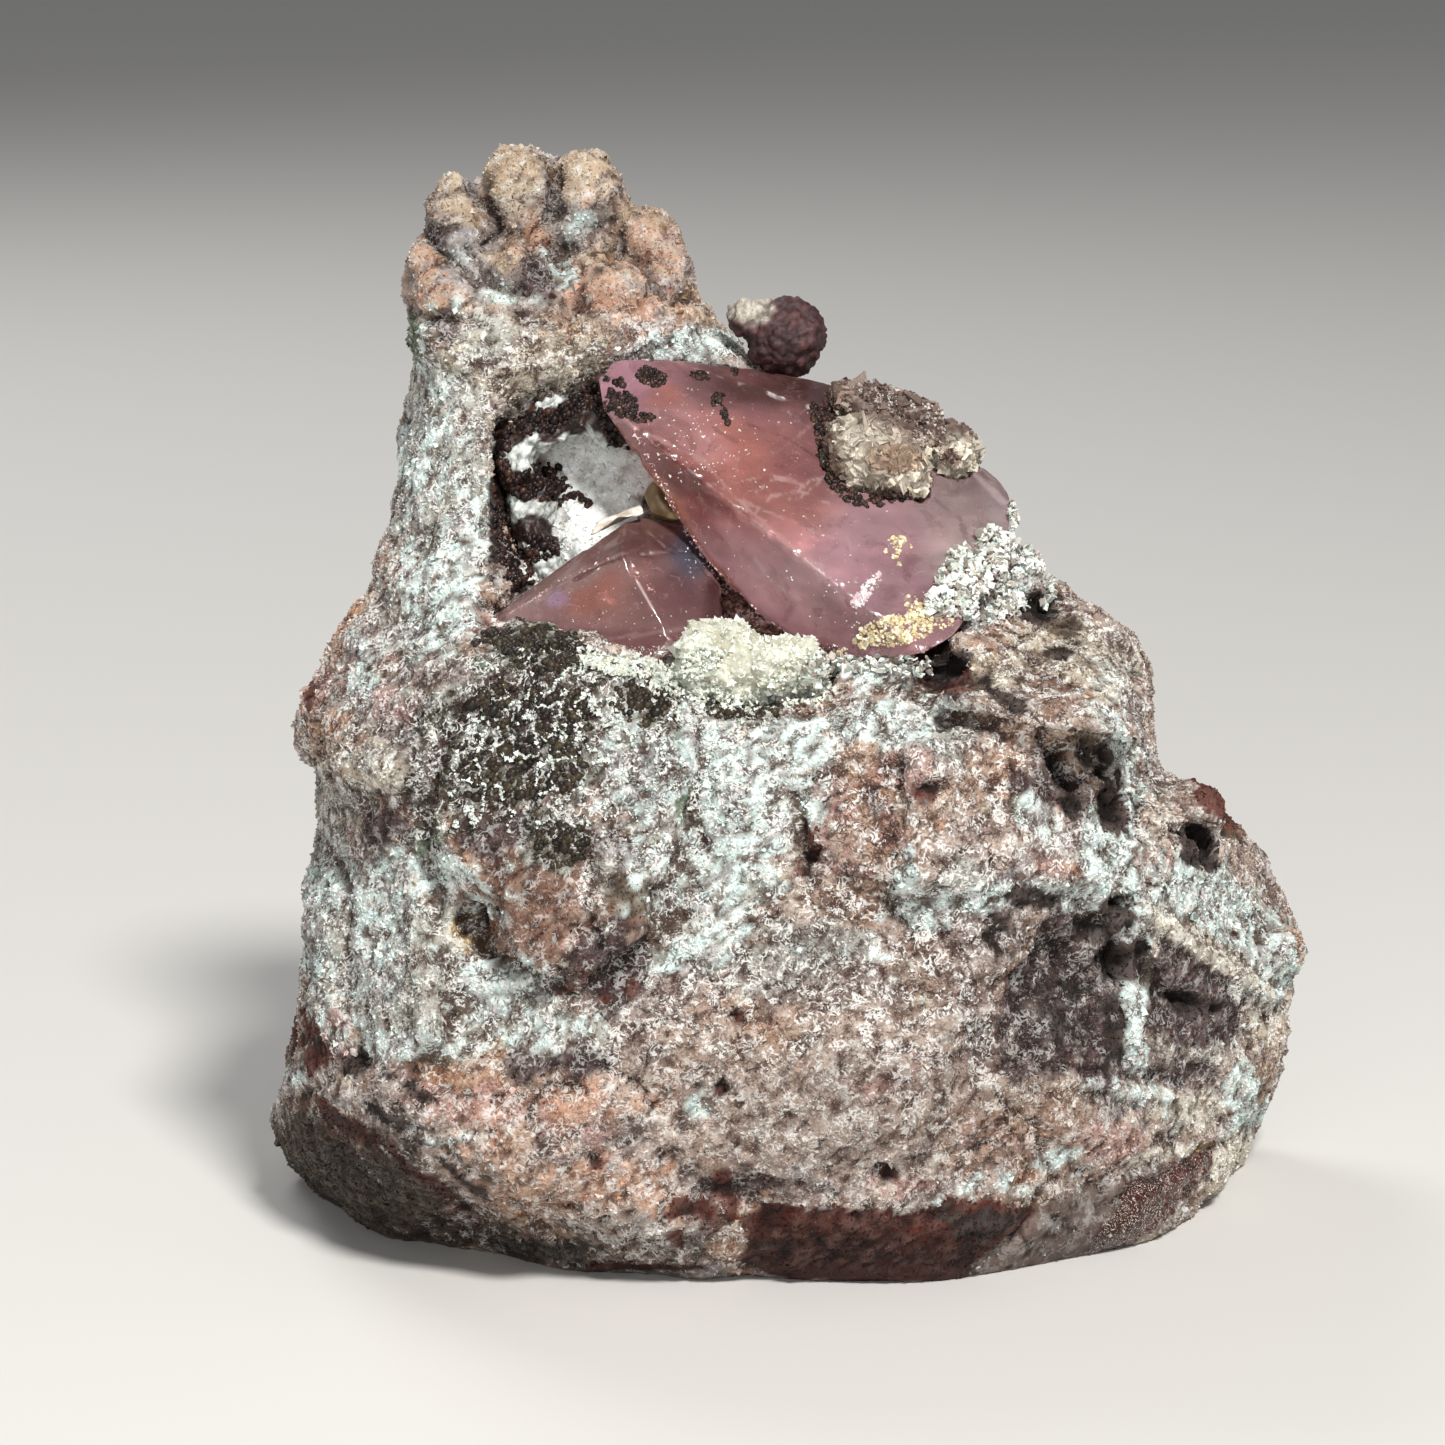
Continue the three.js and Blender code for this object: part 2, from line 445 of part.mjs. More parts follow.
// A crystal from its corners, or the same crystal grown all round, to cut its seat.
function crystal(corners, grow = 0) {
  if (grow === 0) return solidOf(new ConvexGeometry(corners));
  const sides = [-grow, grow];
  const around = corners.flatMap((p) =>
    sides.flatMap((x) => sides.flatMap((y) => sides.map((z) => new THREE.Vector3(x, y, z).add(p)))),
  );
  return solidOf(new ConvexGeometry(around));
}

const largeCorners = cornersOf(largeFaces, largeBehind);
const smallCorners = cornersOf(smallFaces, smallBehind);
const blade = bladeCorners.map((c) => place(...c));
const table = new THREE.BoxGeometry(200, 200, 100).translate(0, 0, -50);
const largeSeat = crystal(largeCorners, clearance);
const smallSeat = crystal(smallCorners, clearance);
const druseSeat = joined(druseLumps.map((l) => lump(l, clearance)));
const creamSeat = joined(creamLumps.map((l) => lump(l, clearance)));
const crustSeat = joined(crustLumps.map((l) => lump(l, clearance)));
const noduleSeat = joined(noduleLumps.map((l) => lump(l, clearance)));
const tanSeat = lump(tanLump, clearance);
const bladeSeat = crystal(blade, clearance);

const solids = {
  matrix_rock: joined([rockChunk(), ...blocks.map(block), ...[...crestLumps, ...edgeLumps].map((l) => lump(l))])
    .subtract(joined(pits.map((l) => lump(l))))
    .subtract(joined([largeSeat, smallSeat, druseSeat, creamSeat, crustSeat, noduleSeat, tanSeat, bladeSeat]))
    .subtract(solidOf(table)),
  large_crystal: crystal(largeCorners).subtract(druseSeat),
  small_crystal: crystal(smallCorners).subtract(largeSeat),
  grey_druse: joined(druseLumps.map((l) => lump(l))),
  cream_calcite: joined(creamLumps.map((l) => lump(l))).subtract(joined([largeSeat, smallSeat])),
  pocket_crust: joined(crustLumps.map((l) => lump(l))).subtract(joined([largeSeat, smallSeat])),
  oxide_nodule: joined(noduleLumps.map((l) => lump(l))).subtract(largeSeat),
  tan_crystal: lump(tanLump).subtract(joined([largeSeat, smallSeat, crustSeat])),
  pale_blade: crystal(blade).subtract(joined([smallSeat, tanSeat, crustSeat])),
};

const finishes = {
  matrix_rock: { color: 0xa88f80, roughness: 0.95 },
  large_crystal: { color: 0xc98a92, roughness: 0.25, opacity: 0.85, transparent: true },
  small_crystal: { color: 0xb57a80, roughness: 0.25, opacity: 0.85, transparent: true },
  grey_druse: { color: 0xb0a696, roughness: 0.8 },
  cream_calcite: { color: 0xe6e2cc, roughness: 0.85 },
  pocket_crust: { color: 0x2e1715, roughness: 0.5 },
  oxide_nodule: { color: 0x33201f, roughness: 0.8 },
  tan_crystal: { color: 0x9b8560, roughness: 0.4 },
  pale_blade: { color: 0xd9cfc0, roughness: 0.3 },
};

const specimen = new THREE.Group();
for (const [name, solid] of Object.entries(solids)) {
  const largest = solid.decompose().sort((a, b) => b.volume() - a.volume())[0];
  const mesh = new THREE.Mesh(geometryOf(largest), new THREE.MeshStandardMaterial(finishes[name]));
  mesh.name = name;
  specimen.add(mesh);
}

// The origin is on the table, under the middle of the whole specimen.
const middle = new THREE.Box3().setFromObject(specimen).getCenter(new THREE.Vector3());
specimen.position.set(-middle.x, -middle.y, 0);
export default specimen;
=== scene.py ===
import math

import bmesh
import bpy
import numpy as np
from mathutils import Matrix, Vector
from mathutils.bvhtree import BVHTree


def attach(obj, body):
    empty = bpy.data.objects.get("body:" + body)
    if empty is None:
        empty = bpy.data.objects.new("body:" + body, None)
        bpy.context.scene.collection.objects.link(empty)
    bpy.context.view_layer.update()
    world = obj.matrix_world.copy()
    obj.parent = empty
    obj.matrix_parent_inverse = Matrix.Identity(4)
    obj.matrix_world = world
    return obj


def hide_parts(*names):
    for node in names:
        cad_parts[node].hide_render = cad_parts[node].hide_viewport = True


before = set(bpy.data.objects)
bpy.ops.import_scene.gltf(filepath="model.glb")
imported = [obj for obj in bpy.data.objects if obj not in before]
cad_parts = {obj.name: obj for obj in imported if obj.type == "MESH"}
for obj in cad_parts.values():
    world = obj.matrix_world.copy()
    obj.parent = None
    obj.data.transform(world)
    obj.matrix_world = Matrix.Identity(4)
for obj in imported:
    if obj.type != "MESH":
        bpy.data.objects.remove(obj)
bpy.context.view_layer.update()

# How the specimen is seen, in millimetres: u to the right, v up, w towards the eye.
# The same values as in the solids.
EYE_DISTANCE = 300.0
EYE_TILT = math.radians(12)
EYE_U, EYE_V = -2.3, 34.8
FOOT_DEPTH = 14.0
CENTRING = np.array([-2.310622, -21.165724, 0.0])
MM = 0.001
# Places on the front are given in a grid of 16.3 steps to the millimetre, x to the right and y down.
GRID, GRID_X, GRID_Y = 16.3, 760.0, 1290.0
# The back takes the front's stains mirrored: its x is counted down from here.
MIRROR_X = 1500.0
# Above this y lie the knobs of the crest.
CREST_Y = 330
# Boxes of the front, by left, right, top and bottom: the pocket, and its coated wall.
POCKET = (440, 1090, 300, 880)
COATED_WALL = (500, 680, 410, 600)
# Added to how far a surface faces the eye, so that the rims count as front.
RIM_SHARE = 0.35


def place(u, v, w):
    """Where the thing seen at u, v with depth w stands, in millimetres."""
    shrink = (EYE_DISTANCE - w) / EYE_DISTANCE
    up = EYE_V + (v - EYE_V) * shrink
    near = w - FOOT_DEPTH
    x = EYE_U + (u - EYE_U) * shrink
    y = up * math.sin(EYE_TILT) - near * math.cos(EYE_TILT)
    z = up * math.cos(EYE_TILT) + near * math.sin(EYE_TILT)
    return np.array([x, y, z]) + CENTRING


def seen(points):
    """Grid x and grid y of points in millimetres."""
    p = points - CENTRING
    up = p[:, 1] * math.sin(EYE_TILT) + p[:, 2] * math.cos(EYE_TILT)
    near = p[:, 2] * math.sin(EYE_TILT) - p[:, 1] * math.cos(EYE_TILT)
    w = near + FOOT_DEPTH
    shrink = (EYE_DISTANCE - w) / EYE_DISTANCE
    u = EYE_U + (p[:, 0] - EYE_U) / shrink
    v = EYE_V + (up - EYE_V) / shrink
    return GRID_X + GRID * u, GRID_Y - GRID * v


# Noise on arrays of points.
def scatter(cell, seed):
    """A repeatable number from 0 to 1 for each lattice cell."""
    c = cell.astype(np.int64).astype(np.uint64)
    h = c[..., 0] * np.uint64(0x9E3779B1) + c[..., 1] * np.uint64(0x85EBCA77)
    h = h + c[..., 2] * np.uint64(0xC2B2AE3D)
    h = h + np.uint64(seed * 0x27D4EB2F + 0x165667B1)
    h = (h ^ (h >> np.uint64(15))) * np.uint64(0x2C1B3C6D)
    h = (h ^ (h >> np.uint64(12))) * np.uint64(0x297A2D39)
    h = h ^ (h >> np.uint64(15))
    return (h & np.uint64(0xFFFFFF)).astype(np.float64) / 0xFFFFFF


def smooth_noise(points, size, seed):
    """Smooth noise from -1 to 1 with features of that size."""
    q = points / size
    base = np.floor(q)
    f = q - base
    f = f * f * (3 - 2 * f)
    total = np.zeros(len(points))
    for i in range(8):
        step = np.array([i & 1, (i >> 1) & 1, (i >> 2) & 1])
        weight = np.prod(np.where(step, f, 1 - f), axis=1)
        total += weight * scatter(base + step, seed)
    return total * 2 - 1


def rough_noise(points, size, seed, octaves=3):
    total = np.zeros(len(points))
    for octave in range(octaves):
        total += smooth_noise(points, size / 2 ** octave, seed + octave) / 2 ** octave
    return total / 1.5


def cells(points, size, seed):
    """Distances to the nearest and second nearest of scattered points, and a number for the nearest."""
    q = points / size
    base = np.floor(q)
    near = np.full(len(points), 9.0)
    second = np.full(len(points), 9.0)
    mark = np.zeros(len(points))
    for i in range(27):
        cell = base + np.array([i % 3, (i // 3) % 3, i // 9]) - 1
        spot = cell + np.stack([scatter(cell, seed + k) for k in range(3)], axis=1)
        far = np.linalg.norm(q - spot, axis=1)
        closer = far < near
        second = np.where(closer, near, np.minimum(second, far))
        mark = np.where(closer, scatter(cell, seed + 5), mark)
        near = np.where(closer, far, near)
    return near, second, mark


def ramp(x, low, high):
    t = np.clip((x - low) / (high - low), 0, 1)
    return t * t * (3 - 2 * t)


# Meshes from and to arrays, in millimetres.
def points_of(mesh):
    out = np.empty(len(mesh.vertices) * 3)
    mesh.vertices.foreach_get("co", out)
    return out.reshape(-1, 3) / MM


def normals_of(mesh):
    out = np.empty(len(mesh.vertices) * 3)
    mesh.vertex_normals.foreach_get("vector", out)
    return out.reshape(-1, 3)


def set_points(mesh, points):
    mesh.vertices.foreach_set("co", (points * MM).ravel())
    mesh.update()


def triangles_of(mesh):
    mesh.calc_loop_triangles()
    out = np.empty(len(mesh.loop_triangles) * 3, dtype=np.int64)
    mesh.loop_triangles.foreach_get("vertices", out)
    return out.reshape(-1, 3)


def make_object(name, mesh):
    obj = bpy.data.objects.new(name, mesh)
    bpy.context.scene.collection.objects.link(obj)
    return obj


def make_mesh(name, points, triangles, smooth=False):
    mesh = bpy.data.meshes.new(name)
    mesh.vertices.add(len(points))
    mesh.loops.add(len(triangles) * 3)
    mesh.polygons.add(len(triangles))
    mesh.loops.foreach_set("vertex_index", np.asarray(triangles, dtype=np.int32).ravel())
    mesh.polygons.foreach_set("loop_start", np.arange(0, len(triangles) * 3, 3, dtype=np.int32))
    mesh.update(calc_edges=True)
    set_points(mesh, np.asarray(points))
    mesh.polygons.foreach_set("use_smooth", np.full(len(triangles), smooth))
    mesh.update()
    return mesh


def set_attribute(mesh, name, values):
    layer = mesh.attributes.new(name, "FLOAT", "POINT")
    layer.data.foreach_set("value", np.asarray(values, dtype=np.float32))


def set_colour(mesh, values):
    """Gives each corner its own colour, from sRGB values up to 255."""
    c = np.clip(values / 255, 0, 1)
    c = np.where(c <= 0.04045, c / 12.92, ((c + 0.055) / 1.055) ** 2.4)
    layer = mesh.color_attributes.new("tint", "FLOAT_COLOR", "POINT")
    rgba = np.concatenate([c, np.ones((len(c), 1))], axis=1)
    layer.data.foreach_set("color", rgba.astype(np.float32).ravel())


def links_of(mesh):
    """The two ends of every edge, and how many neighbours each corner has."""
    edges = np.empty(len(mesh.edges) * 2, dtype=np.int64)
    mesh.edges.foreach_get("vertices", edges)
    a, b = edges.reshape(-1, 2).T
    size = len(mesh.vertices)
    count = np.bincount(a, minlength=size) + np.bincount(b, minlength=size)
    return a, b, np.maximum(count, 1)[:, None]


def mean_of_neighbours(p, a, b, count):
    size = len(p)
    total = [
        np.bincount(a, weights=p[b, i], minlength=size) + np.bincount(b, weights=p[a, i], minlength=size)
        for i in range(3)]
    return np.stack(total, axis=1) / count


def even_out(mesh, rounds, keep):
    """Moves each corner towards the mean of its neighbours, less where keep is near 1."""
    links = links_of(mesh)
    p = points_of(mesh)
    for _ in range(rounds):
        p = p + (mean_of_neighbours(p, *links) - p) * (0.6 * (1 - keep))[:, None]
    set_points(mesh, p)


def hollowness(mesh, rounds):
    """How far each corner lies below the evened-out surface, in millimetres: above 0 in hollows."""
    links = links_of(mesh)
    p = points_of(mesh)
    q = p
    for _ in range(rounds):
        q = mean_of_neighbours(q, *links)
    return np.einsum("ij,ij->i", q - p, normals_of(mesh))


def fine_copy(name, node, voxel, rounds):
    """A finely meshed, smoothed copy of a solid, with its flat foot kept."""
    source = make_object(name + "_source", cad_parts[node].data.copy())
    remesh = source.modifiers.new("fine", "REMESH")
    remesh.mode = "VOXEL"
    remesh.voxel_size = voxel * MM
    depsgraph = bpy.context.evaluated_depsgraph_get()
    mesh = bpy.data.meshes.new_from_object(source.evaluated_get(depsgraph))
    bpy.data.objects.remove(source)
    mesh.name = name
    mesh.materials.clear()
    even_out(mesh, rounds, ramp(-points_of(mesh)[:, 2], -0.5, -0.2))
    return mesh


# Shader building.
def linear(rgb):
    out = [c / 255 for c in rgb]
    return [c / 12.92 if c <= 0.04045 else ((c + 0.055) / 1.055) ** 2.4 for c in out] + [1.0]


class Look:
    """A material under construction. Texture sizes are in millimetres."""

    def __init__(self, name):
        self.material = bpy.data.materials.new(name)
        self.material.use_nodes = True
        self.nodes = self.material.node_tree.nodes
        self.links = self.material.node_tree.links
        self.shader = self.nodes["Principled BSDF"]
        self.output = self.nodes["Material Output"]
        self.coordinates = self.nodes.new("ShaderNodeTexCoord").outputs["Object"]

    def feed(self, socket, value):
        if isinstance(value, bpy.types.NodeSocket):
            self.links.new(value, socket)
        else:
            socket.default_value = value

    def noise(self, size, detail=3.0, roughness=0.6, distortion=0.0):
        node = self.nodes.new("ShaderNodeTexNoise")
        self.links.new(self.coordinates, node.inputs["Vector"])
        node.inputs["Scale"].default_value = 1 / (size * MM)
        node.inputs["Detail"].default_value = detail
        node.inputs["Roughness"].default_value = roughness
        node.inputs["Distortion"].default_value = distortion
        return node.outputs["Fac"]

    def cell(self, size):
        node = self.nodes.new("ShaderNodeTexVoronoi")
        self.links.new(self.coordinates, node.inputs["Vector"])
        node.inputs["Scale"].default_value = 1 / (size * MM)
        return node.outputs["Distance"]

    def attribute(self, name, output="Fac"):
        node = self.nodes.new("ShaderNodeAttribute")
        node.attribute_name = name
        return node.outputs[output]

    def math(self, operation, a, b=0.0, c=0.0):
        node = self.nodes.new("ShaderNodeMath")
        node.operation = operation
        for socket, value in zip(node.inputs, (a, b, c)):
            self.feed(socket, value)
        return node.outputs[0]

    def times(self, a, b):
        return self.math("MULTIPLY", a, b)

    def ramp(self, value, low, high, to_low=0.0, to_high=1.0):
        node = self.nodes.new("ShaderNodeMapRange")
        node.interpolation_type = "SMOOTHSTEP"
        names = ("Value", "From Min", "From Max", "To Min", "To Max")
        for name, v in zip(names, (value, low, high, to_low, to_high)):
            self.feed(node.inputs[name], v)
        return node.outputs[0]

    def mix(self, factor, a, b):
        node = self.nodes.new("ShaderNodeMix")
        node.data_type = "RGBA"
        self.feed(node.inputs[0], factor)
        for socket, value in zip(node.inputs[6:8], (a, b)):
            self.feed(socket, linear(value) if isinstance(value, tuple) else value)
        return node.outputs[2]

    def bump(self, height, distance, strength):
        node = self.nodes.new("ShaderNodeBump")
        node.inputs["Strength"].default_value = strength
        node.inputs["Distance"].default_value = distance * MM
        self.links.new(height, node.inputs["Height"])
        return node.outputs["Normal"]

    def set(self, **values):
        for name, value in values.items():
            self.feed(self.shader.inputs[name.replace("_", " ")], value)
        return self.material


# Where the rock's stains and crusts lie on the front, and where painted shade darkens it.
# Each patch is x, y, half width, half height, turn in degrees and strength.
STAINS = {
    "cream": [
        (520, 180, 36, 34, 0, .9), (455, 190, 24, 30, 0, .8), (588, 176, 26, 24, 0, .9),
        (480, 380, 70, 50, 0, .8), (560, 355, 70, 26, -8, .8), (460, 500, 50, 80, 0, .5),
        (370, 770, 42, 36, 0, .8), (385, 960, 76, 34, 0, .5), (388, 1022, 34, 24, 0, .9),
        (330, 740, 24, 22, 0, .5), (748, 857, 40, 24, 0, .8), (1100, 665, 44, 40, 0, .8),
        (1000, 660, 60, 26, 20, .5), (1000, 810, 50, 30, 0, .4), (1160, 1112, 26, 18, 0, .9),
        (1265, 1010, 26, 56, 0, .8), (1230, 900, 40, 30, 30, .6), (890, 1000, 90, 30, 0, .4),
        (430, 330, 30, 30, 0, .5), (500, 345, 60, 30, 0, .9), (430, 400, 40, 50, 0, .8),
        (540, 380, 60, 30, 0, .8), (400, 950, 100, 110, 0, .6), (350, 780, 50, 80, 0, .6),
        (603, 742, 24, 34, 0, .8), (636, 668, 56, 14, 6, 1.2), (700, 690, 60, 14, 10, 1.0),
        (1205, 955, 70, 10, 38, 1.0), (1100, 1092, 80, 12, 6, .5), (1220, 1180, 18, 44, 25, 1.2),
        (1150, 1252, 50, 12, -38, .8), (1050, 650, 60, 40, 0, .8), (330, 1010, 60, 60, 0, .6),
        (400, 950, 80, 80, 0, .6)],
    "tan": [
        (455, 178, 20, 18, 0, 1.0), (455, 215, 30, 20, 0, .7), (518, 170, 34, 24, 0, 1.1),
        (505, 210, 30, 20, 0, .5), (588, 172, 28, 26, 0, 1.2), (640, 214, 26, 20, 0, .9),
        (668, 262, 22, 28, 0, .8), (430, 258, 22, 20, 0, .8), (440, 292, 30, 20, 0, .8),
        (515, 250, 24, 24, 0, .8), (690, 300, 30, 18, 30, .8), (566, 330, 40, 14, -10, .6),
        (600, 262, 30, 20, 0, .7)],
    "frost": [
        (440, 470, 60, 120, 0, .9), (420, 620, 60, 60, 0, .7), (330, 900, 60, 90, 0, .9),
        (400, 970, 110, 90, 0, .9), (480, 1010, 80, 50, 0, .9), (640, 760, 90, 90, 0, 1.0),
        (720, 800, 80, 90, 0, .9), (660, 900, 100, 80, 0, .9), (560, 1030, 90, 40, -10, .8),
        (780, 960, 110, 50, 0, .7), (860, 960, 80, 40, 0, .6), (960, 880, 80, 30, 0, .5),
        (1190, 900, 80, 50, 20, .9), (1250, 960, 40, 60, 0, .9), (1200, 1050, 60, 40, 0, .7),
        (1150, 1110, 60, 30, 0, .6), (690, 345, 60, 20, 0, .9), (480, 350, 60, 30, 0, .6),
        (940, 720, 70, 40, 0, .7), (1110, 700, 30, 50, 0, .6), (1020, 560, 50, 40, 0, .8),
        (1010, 1190, 60, 20, 0, .5), (370, 700, 60, 60, 0, .5), (350, 800, 60, 60, 0, .6)],
    "grey": [
        (500, 292, 24, 16, 10, .9), (562, 225, 16, 20, 0, .9), (465, 243, 16, 14, 0, .9),
        (600, 225, 12, 20, 0, .6), (424, 345, 16, 40, 0, .9), (765, 978, 56, 24, 5, .8),
        (666, 935, 32, 50, 0, .6), (930, 714, 50, 28, 0, .6), (630, 720, 50, 50, 0, .5),
        (625, 1240, 100, 20, 8, .8), (1130, 1060, 60, 24, 0, .4), (540, 800, 120, 60, 0, .3),
        (640, 760, 60, 80, 0, .7), (660, 880, 50, 70, 0, .6), (400, 880, 70, 50, 0, .5),
        (370, 1000, 70, 50, 0, .5), (840, 960, 60, 30, 0, .4), (1200, 1040, 60, 20, 0, .7),
        (450, 1150, 80, 10, 38, .8)],
    "rose": [
        (392, 708, 26, 18, 0, .9), (465, 615, 46, 36, 0, .8), (320, 690, 20, 24, 0, .9),
        (625, 800, 40, 26, 0, .6), (465, 1105, 70, 24, 10, .9), (560, 1120, 80, 40, 0, .5),
        (850, 830, 60, 70, 0, .5), (1060, 865, 44, 22, 0, .7), (1110, 1150, 34, 26, 0, .9),
        (530, 920, 44, 44, 0, .8), (900, 1060, 90, 30, 0, .5), (1163, 870, 20, 30, 0, .7),
        (1000, 1130, 60, 30, 0, .5), (700, 1180, 70, 30, 0, .5), (320, 1040, 30, 50, 0, .6),
        (655, 255, 30, 34, 0, .6), (900, 760, 50, 30, 0, .7), (880, 1090, 60, 30, 0, .6),
        (900, 1190, 50, 14, 0, .6)],
    "peach": [
        (645, 250, 32, 34, 0, .7), (605, 290, 56, 26, 10, .8), (440, 288, 30, 16, 0, 1.0),
        (428, 255, 18, 16, 0, .9), (590, 200, 22, 22, 0, .5), (525, 240, 18, 24, 0, .8),
        (575, 1105, 40, 26, 0, 1.0), (480, 1150, 60, 20, 25, .7), (560, 1160, 90, 44, 20, .62),
        (640, 1200, 60, 24, 10, .7), (640, 1105, 20, 10, -20, .8), (520, 1060, 10, 8, 0, .6),
        (985, 1165, 60, 26, 0, .4), (340, 724, 18, 14, 0, .8), (504, 890, 10, 24, 0, .8),
        (345, 1115, 20, 14, 0, .8), (600, 1180, 60, 24, 0, .6), (960, 850, 70, 40, 0, .3),
        (680, 300, 30, 20, 30, .6), (1060, 870, 40, 14, 0, .45), (640, 330, 40, 12, 10, .6),
        (1026, 738, 20, 12, 20, 1.1), (742, 1258, 22, 18, 0, 1.2)],
    "ochre": [(503, 1046, 9, 13, -20, 1.4), (470, 930, 18, 19, 20, 1.3), (1200, 1150, 20, 12, 0, .6)],
    "umber": [
        (360, 1190, 100, 50, 32, 1.1), (296, 1140, 26, 44, 0, .9), (520, 1252, 110, 16, 10, .8),
        (1080, 745, 16, 18, 0, .9), (1228, 818, 24, 16, 40, .9), (540, 640, 50, 22, 0, .8),
        (618, 905, 26, 46, 0, .85), (512, 888, 12, 26, 0, .7), (1070, 628, 26, 18, 20, .9),
        (965, 672, 34, 24, 30, .9)],
    "violet": [
        (384, 828, 26, 24, 0, 1.0), (615, 968, 34, 44, 0, 1.0), (560, 1068, 60, 24, -10, .9),
        (500, 1010, 26, 30, 0, .6), (765, 985, 50, 18, 0, .4), (1056, 1000, 46, 70, 14, 1.1),
        (1050, 1060, 60, 24, 0, .8), (1178, 960, 36, 34, 20, 1.0), (446, 320, 16, 12, 0, 1.1),
        (525, 795, 60, 40, 0, .5), (470, 330, 16, 10, 0, .4), (1170, 1070, 50, 20, 0, .8),
        (1050, 790, 30, 40, -30, .8), (860, 800, 40, 60, 0, .3), (530, 275, 20, 22, 0, .8),
        (446, 222, 20, 16, 0, .6), (505, 836, 60, 24, 0, .85), (596, 970, 40, 40, 20, .9),
        (590, 850, 30, 20, 0, .7), (740, 1180, 40, 12, 0, .8), (680, 1130, 14, 30, -20, .6)],
    "green": [
        (540, 645, 60, 30, 0, .6), (530, 705, 90, 40, 0, .65), (495, 785, 100, 60, 0, .6),
        (648, 694, 52, 24, 0, .6), (745, 708, 48, 12, -4, 1.1), (760, 716, 30, 10, 0, .8),
        (687, 806, 12, 14, 0, .9), (425, 838, 22, 18, 0, .7), (450, 700, 20, 20, 0, .5)],
    "blush": [
        (800, 1110, 130, 66, 0, 1.0), (660, 1156, 44, 30, 0, .9), (880, 1170, 80, 26, 0, .9),
        (890, 1040, 100, 40, 0, .8), (620, 1200, 90, 26, 8, .7), (1110, 1150, 60, 40, 0, .7),
        (980, 1130, 60, 40, 0, .5), (800, 900, 60, 60, 0, .5), (720, 1040, 80, 30, 0, .6),
        (1210, 930, 70, 60, 30, 1.1), (1220, 880, 50, 40, 30, .9), (1010, 850, 60, 30, 0, .6)],
    "leaf": [
        (484, 667, 14, 14, 0, 1.1), (425, 838, 18, 20, 20, .8), (687, 806, 12, 16, 0, .9),
        (413, 342, 10, 38, 0, .9)],
    "oxide": [
        (690, 1236, 40, 26, 8, .5), (720, 1088, 9, 12, 20, 1.3), (890, 1178, 12, 11, 0, 1.3),
        (816, 854, 9, 11, 0, 1.1), (930, 788, 22, 14, 0, .9), (803, 850, 12, 40, 0, .8),
        (312, 1045, 26, 40, 0, .7), (352, 1126, 50, 12, 36, 1.0), (430, 1186, 60, 8, 38, .8),
        (308, 690, 10, 22, 0, .9), (947, 670, 34, 28, 30, 1.0), (1220, 800, 40, 18, 30, .9),
        (735, 1015, 10, 9, 0, .9), (650, 1269, 70, 5, 4, .9), (598, 985, 60, 20, 0, .5),
        (1118, 815, 14, 24, 0, 1.0), (594, 1160, 10, 10, 0, .9), (812, 830, 14, 16, 0, .7),
        (690, 1210, 40, 14, 0, .8)],
    # The dark patches: dark oxide in the pits and holes, with painted shade there too, and painted shadow
    # under the large crystal at 805, 665 and beside the white crust at 1040, 604.
    "dark": [
        (1073, 806, 12, 16, -30, 1.0), (1056, 776, 8, 20, -35, .8), (1104, 758, 12, 22, 0, 1.1),
        (1110, 800, 14, 20, 0, .9), (1086, 752, 9, 12, 0, .9), (1120, 902, 15, 13, 0, 1.3),
        (1094, 930, 26, 18, 10, 1.1), (1113, 966, 22, 22, 0, 1.4), (945, 660, 26, 22, 30, 1.1),
        (1192, 1003, 32, 13, 14, 1.3), (1194, 838, 15, 13, 0, 1.2), (1202, 862, 20, 11, 20, 1.2),
        (1040, 604, 22, 20, 0, 1.1), (805, 665, 34, 18, 35, 1.1), (485, 918, 4, 12, -15, .9),
        (352, 1060, 24, 16, 30, .8), (415, 1090, 40, 9, 25, .8), (498, 510, 9, 72, 4, 1.2),
        (1070, 1010, 40, 50, 0, .6), (1112, 1030, 14, 50, 0, .9), (400, 1130, 50, 9, 34, .8),
        (470, 1185, 70, 7, 38, .6), (1000, 935, 24, 34, -30, .6), (1060, 655, 20, 10, 0, .7),
        (1030, 900, 40, 14, 0, .7), (600, 416, 20, 30, 0, 1.1), (560, 416, 40, 10, -8, 1.0),
        (697, 1085, 4, 4, 0, 1), (1010, 700, 30, 14, 30, .7)],
    "mint": [
        (685, 343, 44, 14, 6, 1.3), (650, 350, 20, 16, 0, .9), (440, 590, 46, 60, 0, .9),
        (470, 540, 36, 60, 0, .7), (435, 430, 30, 60, 0, .6), (425, 362, 10, 24, 0, .8),
        (330, 890, 30, 26, -20, 1.1), (430, 870, 26, 20, 0, 1.0), (366, 660, 20, 40, 0, .6),
        (500, 985, 60, 22, 12, 1.1), (410, 1046, 50, 20, 0, .9), (300, 1075, 12, 10, 0, 1.0),
        (540, 1035, 60, 20, -10, .7), (490, 760, 60, 7, -2, 1.2), (560, 755, 20, 10, 20, 1.0),
        (600, 668, 60, 10, 16, 1.0), (625, 720, 50, 12, 14, 1.0), (690, 740, 40, 50, 0, 1.2),
        (715, 790, 50, 50, 0, 1.3), (780, 755, 60, 34, -14, 1.2), (740, 840, 40, 60, 0, 1.0),
        (725, 920, 28, 50, 0, .9), (640, 850, 50, 40, 0, .5), (870, 668, 50, 18, 4, 1.2),
        (890, 715, 60, 24, 0, .9), (960, 590, 36, 30, 0, 1.1), (1000, 555, 34, 46, 0, 1.0),
        (892, 880, 8, 36, 20, .9), (928, 916, 34, 6, 14, .95), (1010, 900, 80, 7, -6, 1.2),
        (1030, 812, 24, 20, 0, 1.0), (1108, 858, 24, 42, 0, 2.0), (1122, 830, 10, 30, -10, 1.6),
